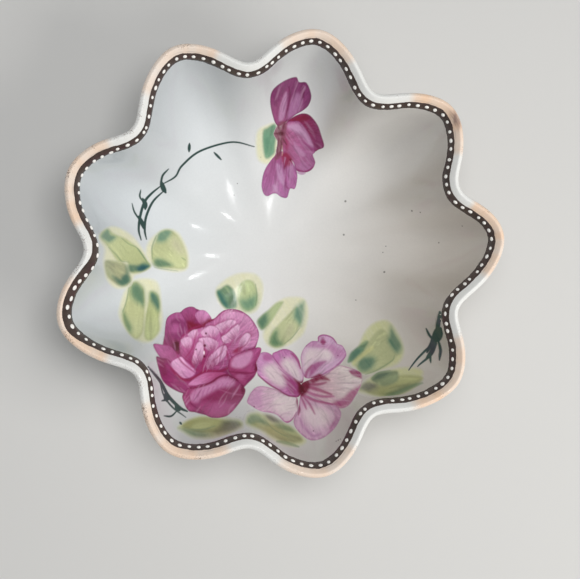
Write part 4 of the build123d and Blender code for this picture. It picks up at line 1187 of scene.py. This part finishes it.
# Each leaf patch: its halo, its blades, then darker patches and veins over them
LEAVES = {
    "leaf_pair_far_left": {
        "halo": [(-101, 8), (-97, 14), (-92, 15), (-84, 11), (-78, 4), (-72, -6.5), (-78, -11), (-82, -13),
            (-84, -19), (-92, -20), (-97, -15), (-98.5, -5), (-98, 2)],
        "blades": [
            ([(-100.5, 9), (-97, 13.5), (-93, 11), (-86, 8), (-79, 2.5), (-75, -3), (-72.3, -7),
              (-77, -10.5), (-84, -11), (-86, -5), (-91, -4.5), (-96, 2.5)], LEAF_GREEN),
            ([(-98, -5), (-93, -4.5), (-87, -6), (-85, -11), (-84, -16), (-88.5, -19), (-93, -17),
              (-97, -13)], (176, 182, 142)),
        ],
        "patches": [
            ([(-100.5, 9), (-97, 13.8), (-95, 10.5), (-92, 9), (-95, 5.8), (-98, 6.5)], (102, 142, 116), 0.7),
            ([(-86, -6.5), (-80, -6.5), (-76, -5), (-72.3, -7.2), (-77, -10.3), (-81, -10.5), (-86, -11)],
              (92, 132, 108), 0.7),
            ([(-80, -8), (-76.5, -6.5), (-72.8, -7.3), (-77, -10), (-80, -9.8)], (36, 92, 100), 0.7),
            ([(-94, -13), (-90, -15), (-88, -12.5), (-85.3, -11.5), (-84, -16.5), (-88.5, -19), (-92, -17)],
              (68, 118, 100), 0.8),
        ],
        "veins": [([(-89, 8.5), (-85, 5.5), (-80, 3), (-75, -4)], 0.8), ([(-96, 3), (-91.5, -1.5),
            (-89, -4.5), (-85, -5)], 0.7), ([(-80, 3), (-77, -1), (-73.5, -6.5)], 1.1)],
    },
    "leaf_left": {
        "halo": [(-75, -2), (-74, 6), (-69, 12), (-63, 15), (-56, 13), (-51, 4), (-49.5, -4), (-51, -9),
            (-57, -10.5), (-64, -9.5), (-70, -7.5)],
        "blades": [
            ([(-71.5, -4), (-71.5, 3), (-69, 9), (-66, 13.5), (-61, 14.5), (-56, 11), (-52, 3), (-50.5, -4),
              (-52, -8.5), (-60, -8.5), (-67, -7.5)], (204, 210, 158)),
        ],
        "patches": [
            ([(-69, 8), (-68, 13), (-63, 15), (-60, 13.5), (-62, 9), (-66, 7)], (120, 158, 134), 1.0),
            ([(-72, -7), (-69.5, -2.5), (-64, -3.5), (-59, -6.5), (-64, -7.8), (-69, -8.5)],
              (100, 138, 108), 0.9),
            ([(-58, 10), (-54, 6), (-52, 0), (-56, 1), (-60, 6)], (214, 212, 176), 2.0),
        ],
        "veins": [([(-69, 11), (-71.5, 4), (-71.3, -3)], 1.0), ([(-54, -2), (-51.5, -3.5)], 0.8),
            ([(-70, -8), (-64, -9), (-56, -10)], 0.6)],
    },
    "leaf_lower_left": {
        "halo": [(-90, -30), (-87, -21), (-83, -16), (-77, -14.5), (-70, -15.5), (-67, -20), (-66, -30),
            (-65.5, -40), (-68, -47), (-74, -51), (-81, -49), (-87, -43), (-90.5, -36)],
        "blades": [
            ([(-86.5, -28), (-84.5, -19.5), (-81.5, -16.3), (-78, -18), (-76, -22), (-75.8, -30),
              (-76, -38), (-77, -46), (-81, -49), (-86, -44), (-88.7, -36)], (204, 208, 156)),
            ([(-74, -30), (-73, -23), (-71, -22), (-68, -24.5), (-66.7, -30), (-67.5, -38), (-67.5, -45),
              (-72, -50), (-76, -48), (-75.5, -38)], (198, 206, 148)),
        ],
        "patches": [
            ([(-84.5, -20), (-81.5, -16.5), (-78, -18.5), (-76, -22.5), (-76, -30), (-79, -29.5),
              (-83, -26)], (98, 138, 110), 1.2),
            ([(-88.7, -33), (-86, -37), (-83, -43), (-84, -46), (-87, -42)], (120, 152, 110), 0.9),
            ([(-73, -23), (-71, -22), (-68, -24.5), (-66.7, -30), (-67.5, -34), (-70, -31), (-72.5, -27)],
              (78, 126, 110), 0.9),
        ],
        "veins": [([(-85, -20), (-86.5, -28), (-88.5, -34)], 0.9)],
    },
    "leaf_pair_above_rose": {
        "halo": [(-33, -21), (-27, -15), (-19, -11.5), (-9, -12), (-4.5, -18), (-5, -27), (-8.5, -34),
            (-14, -36), (-20, -34), (-27, -33.5), (-32, -28)],
        "blades": [
            ([(-32.7, -23), (-30, -20.5), (-26, -18.5), (-22, -22), (-20.7, -28), (-21, -32), (-26, -33),
              (-30, -29.5)], (128, 160, 124)),
            ([(-20, -27), (-20, -20), (-15, -15.5), (-10, -17), (-8, -24), (-8.5, -31), (-13, -34.5),
              (-17, -33)], (196, 208, 156)),
        ],
        "patches": [
            ([(-33, -22.5), (-30.5, -22.5), (-27, -28), (-24, -31.5), (-26, -33), (-30, -29.8)],
              (62, 120, 110), 1.0),
            ([(-25, -25), (-21.5, -24.5), (-20.8, -30), (-22, -33), (-26, -32)], (92, 126, 94), 1.0),
            ([(-19, -28), (-14, -27), (-8.5, -25), (-9, -31), (-13, -34.3), (-17, -33)], (118, 162, 130),
              1.6),
        ],
        "veins": [([(-9, -18), (-8.2, -25), (-9, -31)], 0.9)],
    },
    "leaf_pair_middle": {
        "halo": [(-4.5, -47), (-2, -40), (1, -32), (8, -27), (15, -26), (21, -27.5), (23, -34), (22, -42),
            (19, -49), (12, -54.5), (4, -57), (-2, -55), (-4.5, -51)],
        "blades": [
            ([(-8.3, -41), (-6, -37.5), (-1, -33.5), (4, -29.5), (8, -29), (5, -34), (1, -40), (-3, -44.5),
              (-6, -45.7)], (184, 198, 148)),
            ([(-1, -52), (1, -47), (7, -40.5), (12, -35.5), (16, -32), (18, -36), (18.5, -42), (14, -49),
              (8, -55), (3, -56.5), (-0.5, -55)], (202, 208, 160)),
        ],
        "patches": [
            ([(-8.3, -41), (-6, -37.5), (-2.5, -35.5), (-1.5, -40), (-3.5, -44.3), (-6, -45.7)],
              (82, 128, 104), 1.4),
            ([(-1, -52), (1.5, -47), (4, -46), (4.5, -51), (7.5, -55), (3, -56.5), (-0.5, -55)],
              (94, 136, 100), 1.3),
            ([(14, -38), (15, -32.5), (18, -29.5), (21, -28.3), (21, -32), (20.5, -38), (18.5, -44),
              (16.5, -42)], (108, 152, 130), 1.0),
            ([(10, -46), (12, -42), (14, -44), (12, -50), (10, -51)], (206, 206, 166), 1.5),
        ],
        "veins": [([(17.5, -45), (13, -50.5), (8, -54.5)], 0.8)],
    },
    "leaf_pair_right": {
        "tint": LEAF_OLIVE,
        "halo": [(52, -56), (57, -47), (63, -41.5), (70, -40.5), (75, -48), (77.5, -56), (76, -62),
            (71, -66.5), (62, -69), (54, -71), (49, -68), (46.5, -66.5), (47, -63)],
        "blades": [
            ([(44.3, -65), (46.5, -60), (51, -56.5), (57, -52.5), (59, -55), (55, -59.5), (51, -62.5)],
              (130, 158, 122)),
            ([(56, -57), (60, -51), (66, -45.5), (70, -49), (73, -55), (74, -60), (69, -65), (61, -69.5),
              (52, -71), (49, -68), (51, -64.5)], (196, 200, 152)),
        ],
        "patches": [
            ([(44.3, -65), (46.5, -60), (51, -57), (54, -57.5), (51, -61.5), (47.5, -64)], (92, 132, 112),
              0.9),
            ([(70, -50), (71.3, -43.2), (74, -48), (77.3, -55.5), (74.5, -60), (72, -58), (69.5, -53)],
              (80, 124, 104), 0.9),
            ([(49, -67), (50.5, -63.5), (56, -61.5), (61, -62), (60, -66), (56, -69.5), (51, -70.5)],
              (94, 134, 110), 1.1),
            ([(47, -66), (54, -61.6), (60, -57.5), (60, -55.8), (53, -60.3), (47.5, -64.5)],
              (214, 212, 150), 0.6),
        ],
        "veins": [([(53, -71.5), (61, -69), (70, -64), (72, -61)], 0.8)],
    },
    "leaf_pair_lower_right": {
        "tint": LEAF_OLIVE,
        "halo": [(46.5, -79.5), (52, -75), (58, -72), (66, -69.5), (76, -67.5), (84.5, -68.5), (83, -73),
            (76, -78.5), (66, -82.3), (56, -82.3), (49.5, -81)],
        "blades": [
            ([(50, -79), (58, -76), (68, -72.5), (79, -71.5), (84, -73), (76, -78.5), (64, -82),
              (54, -81.5)], (180, 182, 124)),
            ([(56, -73.5), (61, -70.5), (68, -69.5), (72, -70), (70, -75), (62, -77.5), (57, -75.5)],
              (150, 164, 122)),
        ],
        "patches": [
            ([(46.5, -79), (50, -75.5), (56, -75.5), (58, -77.5), (52, -79.7)], (104, 104, 100), 0.9),
            ([(56.5, -74), (61, -71), (68, -70), (66, -72), (60, -74)], (92, 116, 94), 0.7),
            ([(58, -82), (66, -79.5), (74, -76.7), (83, -75), (76, -78.7), (66, -82.4)], (112, 128, 92), 0.9),
        ],
        "veins": [([(56, -73.6), (61, -70.6), (68, -69.3)], 0.8), ([(60, -82.3), (70, -80), (78, -77),
            (83, -75.3)], 1.6)],
    },
    "leaf_below_rose": {
        "tint": LEAF_OLIVE,
        "halo": [(-57.5, -98.5), (-52, -95.5), (-44, -93.6), (-36, -94), (-28, -94.6), (-22.5, -95.3),
            (-20.8, -97.5), (-25, -100), (-33, -103), (-41, -104.2), (-49, -103.5), (-54, -101)],
        "blades": [
            ([(-55, -98), (-51, -95.8), (-44, -94.3), (-36, -94.8), (-28, -97), (-33, -101), (-43, -102),
              (-51, -100.5)], (178, 180, 118)),
        ],
        "patches": [
            ([(-57.3, -98.7), (-52, -99.8), (-46, -101.3), (-38, -102.5), (-42, -104.3), (-50, -103.3)],
              (102, 130, 98), 0.9),
            ([(-33, -98.5), (-30, -95.5), (-24, -95), (-21, -97.5), (-25, -100), (-31, -101)],
              (88, 104, 88), 1.0),
            ([(-38, -101), (-32, -98), (-28, -98), (-31, -101.5), (-36, -103)], (132, 140, 98), 1.2),
        ],
        "veins": [([(-50, -99.8), (-43, -100.2), (-36, -98.5)], 0.6)],
    },
    "leaf_below_bloom": {
        "tint": LEAF_OLIVE,
        "halo": [(-19, -96.5), (-17, -92.8), (-12, -91.8), (-8, -93), (-3, -94.5), (3, -98), (9, -101),
            (15, -106.5), (16, -109), (10, -110.7), (2, -109), (-5, -105), (-12, -100), (-17, -98)],
        "blades": [
            ([(-16, -97), (-10, -95.5), (-4, -98.5), (2, -100), (9, -102.5), (14.5, -108), (8, -109),
              (0, -106.5), (-8, -101.5)], (176, 176, 126)),
        ],
        "patches": [
            ([(-19, -96), (-17, -92.8), (-12, -92.2), (-8, -95.3), (-6, -98.5), (-12, -96.5), (-17, -97.5)],
              (110, 138, 106), 0.9),
            ([(-8, -92.7), (-3, -93.3), (2, -95.5), (6.3, -98.8), (0, -98.7), (-5, -96.5)], (92, 90, 94),
              0.8),
            ([(2, -98.7), (9, -101), (11, -104), (5, -102.5), (-1, -99.5)], (128, 148, 110), 0.9),
        ],
        "veins": [([(-2, -106.8), (5, -108.8), (11.5, -111)], 1.7), ([(-8, -95), (-5, -99), (0, -103),
            (6, -106)], 0.5)],
    },
    "leaf_behind_half_flower": {
        "halo": [(2, 78), (-4, 76.5), (-9, 73), (-9.3, 64), (-7.5, 57), (-1.5, 55), (4, 60), (4, 70)],
        "blades": [
            ([(-5.7, 73), (-3, 75.5), (1.5, 78), (3, 74), (2.5, 66), (2, 61), (-2.8, 58), (-4.7, 63)],
              (128, 168, 138)),
        ],
        "patches": [
            ([(-4.5, 70), (-2, 72), (0, 66), (-1, 60), (-3, 59.5), (-4.5, 64)], (108, 156, 126), 1.2),
        ],
        "veins": [([(-6.4, 58.5), (-6.2, 58.6)], 0.9)],
    },
}


def paint_leaves():
    for k, (node, leaf) in enumerate(LEAVES.items()):
        halo = np.array(leaf["halo"], float)
        p = Painting(halo.min(0) - 5, halo.max(0) + 5)
        p.wash(halo, leaf.get("tint", LEAF_PALE), 1.5, 0.8, shading=False, seed=80 + k)
        for j, (outline, colour) in enumerate(leaf["blades"]):
            middle = np.mean(outline, 0)
            reach = np.array(outline) - middle
            end = reach[np.argmax(np.hypot(reach[:, 0], reach[:, 1]))]
            tip = tuple(0.9 * value for value in colour)
            root = tuple(middle + 1.25 * end)
            p.petal(outline, root, colour, tip, tip, 2.2, 0.22, 1.1, seed=90 + 3 * k + j, hairs=0.03)
            p.brushwork(outline, end, colour, LEAF_LIGHT, 60 + 3 * k + j)
        for j, (outline, colour, soft) in enumerate(leaf["patches"]):
            p.wash(outline, colour, 2.3 * soft, 0.75, seed=120 + 3 * k + j)
            core = np.mean(outline, 0)
            deep = tuple(0.86 * value for value in colour)
            p.wash(core + 0.72 * (np.array(outline) - core), deep, 1.3 * soft, 0.6, seed=150 + 3 * k + j)
        for points, width in leaf["veins"]:
            p.stroke(points, 0.9 * width, VEIN_GREEN, 0.35, 0.55, shading=False)
        p.film(f"painted_{node}", leaf_enamel, "leaf_enamel", node, 0.02)


# ---------------------------------------------------------------- painted stems
STEM_DARK = (52, 74, 70)
# The strokes of each stem: (width, points)
STEMS = {
    "stem_upper_left": [
        (1.25, [(-10.5, 64.5), (-25, 67.1), (-43, 61.5), (-54, 52), (-58, 45.5), (-65.5, 41)]),
        (1.3, [(-62, 49.5), (-65.5, 45.5), (-66, 40.5), (-64, 37)]),
        (1.6, [(-66.5, 40), (-72, 35.5), (-76, 30.5), (-78.5, 22), (-79.3, 14), (-77.9, 8)]),
        (1.5, [(-64.5, 37.5), (-71, 31), (-75, 22), (-75.8, 14), (-74.8, 8.5)]),
        (1.1, [(-78.1, 37.5), (-78.6, 33.5), (-76, 30)]),
        (1.1, [(-83.2, 29.5), (-81.8, 24.5), (-78.5, 20), (-76, 18.5)]),
        (1.9, [(-49.5, 65.4), (-49.8, 60.6)]),
        (1.5, [(-34.5, 61.2), (-30, 57)]),
        (3.0, [(-66.3, 42.5), (-65, 39), (-63.5, 36.5)]),
        (2.8, [(-77, 32.5), (-75.6, 29.5), (-75.5, 26.5)]),
        (2.6, [(-79.5, 22), (-77.5, 18.5), (-76, 14.5)]),
    ],
    "stem_lower_left": [
        (1.9, [(-74, -63.5), (-67.5, -72), (-62.5, -81.5), (-56, -88.5), (-51.5, -91)]),
        (2.6, [(-64.5, -80), (-63.5, -84)]),
        (2.8, [(-58.5, -87), (-56, -90)]),
        (1.0, [(-67.5, -73), (-65, -81), (-60, -88), (-52.5, -94)]),
        (1.3, [(-66.5, -83.2), (-61.5, -83.3)]),
        (1.1, [(-65.3, -91.2), (-61, -92.2), (-57, -89.5)]),
        (1.3, [(-56.3, -96), (-55, -97.2)]),
    ],
    "stem_right": [
        (1.7, [(92.3, -34), (92.0, -39), (91.7, -45)]),
        (1.3, [(92.4, -35), (92.1, -44), (91.5, -52), (87, -58.5), (78, -69)]),
        (2.4, [(93.0, -43.5), (93.0, -51.5)]),
        (2.9, [(92.2, -43), (91.8, -49), (90.7, -54.5)]),
        (1.8, [(92.4, -50), (91.0, -56.5), (88.0, -62)]),
        (2.0, [(92, -45), (91, -52), (88.5, -58.5)]),
        (1.1, [(87.8, -44.2), (89.6, -48.5), (92, -52)]),
        (1.2, [(92.5, -53), (90, -60), (83, -66.8)]),
        (1.1, [(89.9, -58), (89.7, -64.3)]),
        (1.2, [(92.9, -50.5), (94.0, -56.5), (93.4, -62.5)]),
    ],
}


def paint_stems():
    for node, strokes in STEMS.items():
        points = np.array([point for _, line in strokes for point in line])
        p = Painting(points.min(0) - 2.5, points.max(0) + 2.5, 0.25)
        for width, line in strokes:
            p.stroke(line, width, STEM_DARK, 0.22, 1.0, 0.6, shading=False)
        p.film(f"painted_{node}", stem_enamel, "stem_enamel", node, 0.04)


paint_rose()
paint_bloom()
paint_half_flower()
paint_leaves()
paint_stems()

# ---------------------------------------------------------------- floor, lights and camera
FLOOR_GREY = (214, 213, 210)
FLOOR_SIZE = 6.0
LIT_MIDDLE = (0, 0, 0.03)
SKY_COLOUR = (0.96, 0.98, 1.0, 1)
SKY_STRENGTH = 0.2
CAMERA_DISTANCE = 602.0
CAMERA_AIM_HEIGHT = 66.1
CAMERA_LEAN = radians(7.26)
CAMERA_TIP = radians(-1.66)
CAMERA_LENS = 67.03
CAMERA_SHIFT = (0.0141, -0.0651)


def make_floor():
    material = bpy.data.materials.new("pale_floor")
    material.use_nodes = True
    shader = material.node_tree.nodes["Principled BSDF"]
    shader.inputs["Base Color"].default_value = (*linear(FLOOR_GREY), 1)
    shader.inputs["Roughness"].default_value = 0.7
    bpy.ops.mesh.primitive_plane_add(size=FLOOR_SIZE, location=(0, 0, 0))
    floor = bpy.context.object
    floor.name = "floor"
    floor.data.materials.append(material)


def add_light(name, position, size, power, colour, glossy=True, diffuse=True):
    """A rectangular lamp that points at the middle of the bowl."""
    lamp = bpy.data.lights.new(name, "AREA")
    lamp.shape = "RECTANGLE"
    lamp.size, lamp.size_y = size
    lamp.energy = power
    lamp.color = colour
    piece = bpy.data.objects.new(name, lamp)
    bpy.context.scene.collection.objects.link(piece)
    piece.location = position
    piece.rotation_euler = (Vector(LIT_MIDDLE) - Vector(position)).to_track_quat("-Z", "Y").to_euler()
    piece.visible_glossy = glossy
    piece.visible_diffuse = diffuse


def make_lights():
    """A broad soft key from the right, one overhead, and a small lamp that only gives the glaze glints."""
    add_light("key", (0.86, -0.51, 0.74), (0.6, 0.6), 7.8, (1.0, 0.985, 0.96), glossy=False)
    add_light("overhead", (0.0, 0.12, 1.2), (0.7, 0.5), 8.0, (0.985, 0.99, 1.0), glossy=False)
    add_light("glint", (0.17, -0.01, 0.68), (0.045, 0.035), 0.095, (1.0, 1.0, 1.0), diffuse=False)
    world = bpy.data.worlds.new("studio")
    world.use_nodes = True
    world.node_tree.nodes["Background"].inputs["Color"].default_value = SKY_COLOUR
    world.node_tree.nodes["Background"].inputs["Strength"].default_value = SKY_STRENGTH
    bpy.context.scene.world = world
    bpy.context.scene.view_settings.view_transform = "Standard"


def make_camera():
    """Looks almost straight down, leaning a little to the left and the front."""
    turned = (Matrix.Rotation(CAMERA_LEAN, 3, "Y") @ Matrix.Rotation(CAMERA_TIP, 3, "X")).transposed()
    camera = bpy.data.cameras.new("camera")
    piece = bpy.data.objects.new("camera", camera)
    bpy.context.scene.collection.objects.link(piece)
    place_at = turned @ Vector((0, 0, CAMERA_DISTANCE)) + Vector((0, 0, CAMERA_AIM_HEIGHT))
    piece.matrix_world = Matrix.Translation(place_at * MM) @ turned.to_4x4()
    camera.sensor_fit = "HORIZONTAL"
    camera.lens = CAMERA_LENS
    camera.shift_x, camera.shift_y = CAMERA_SHIFT
    camera.clip_start = 0.01
    bpy.context.scene.camera = piece


make_floor()
make_lights()
make_camera()
bpy.context.view_layer.update()
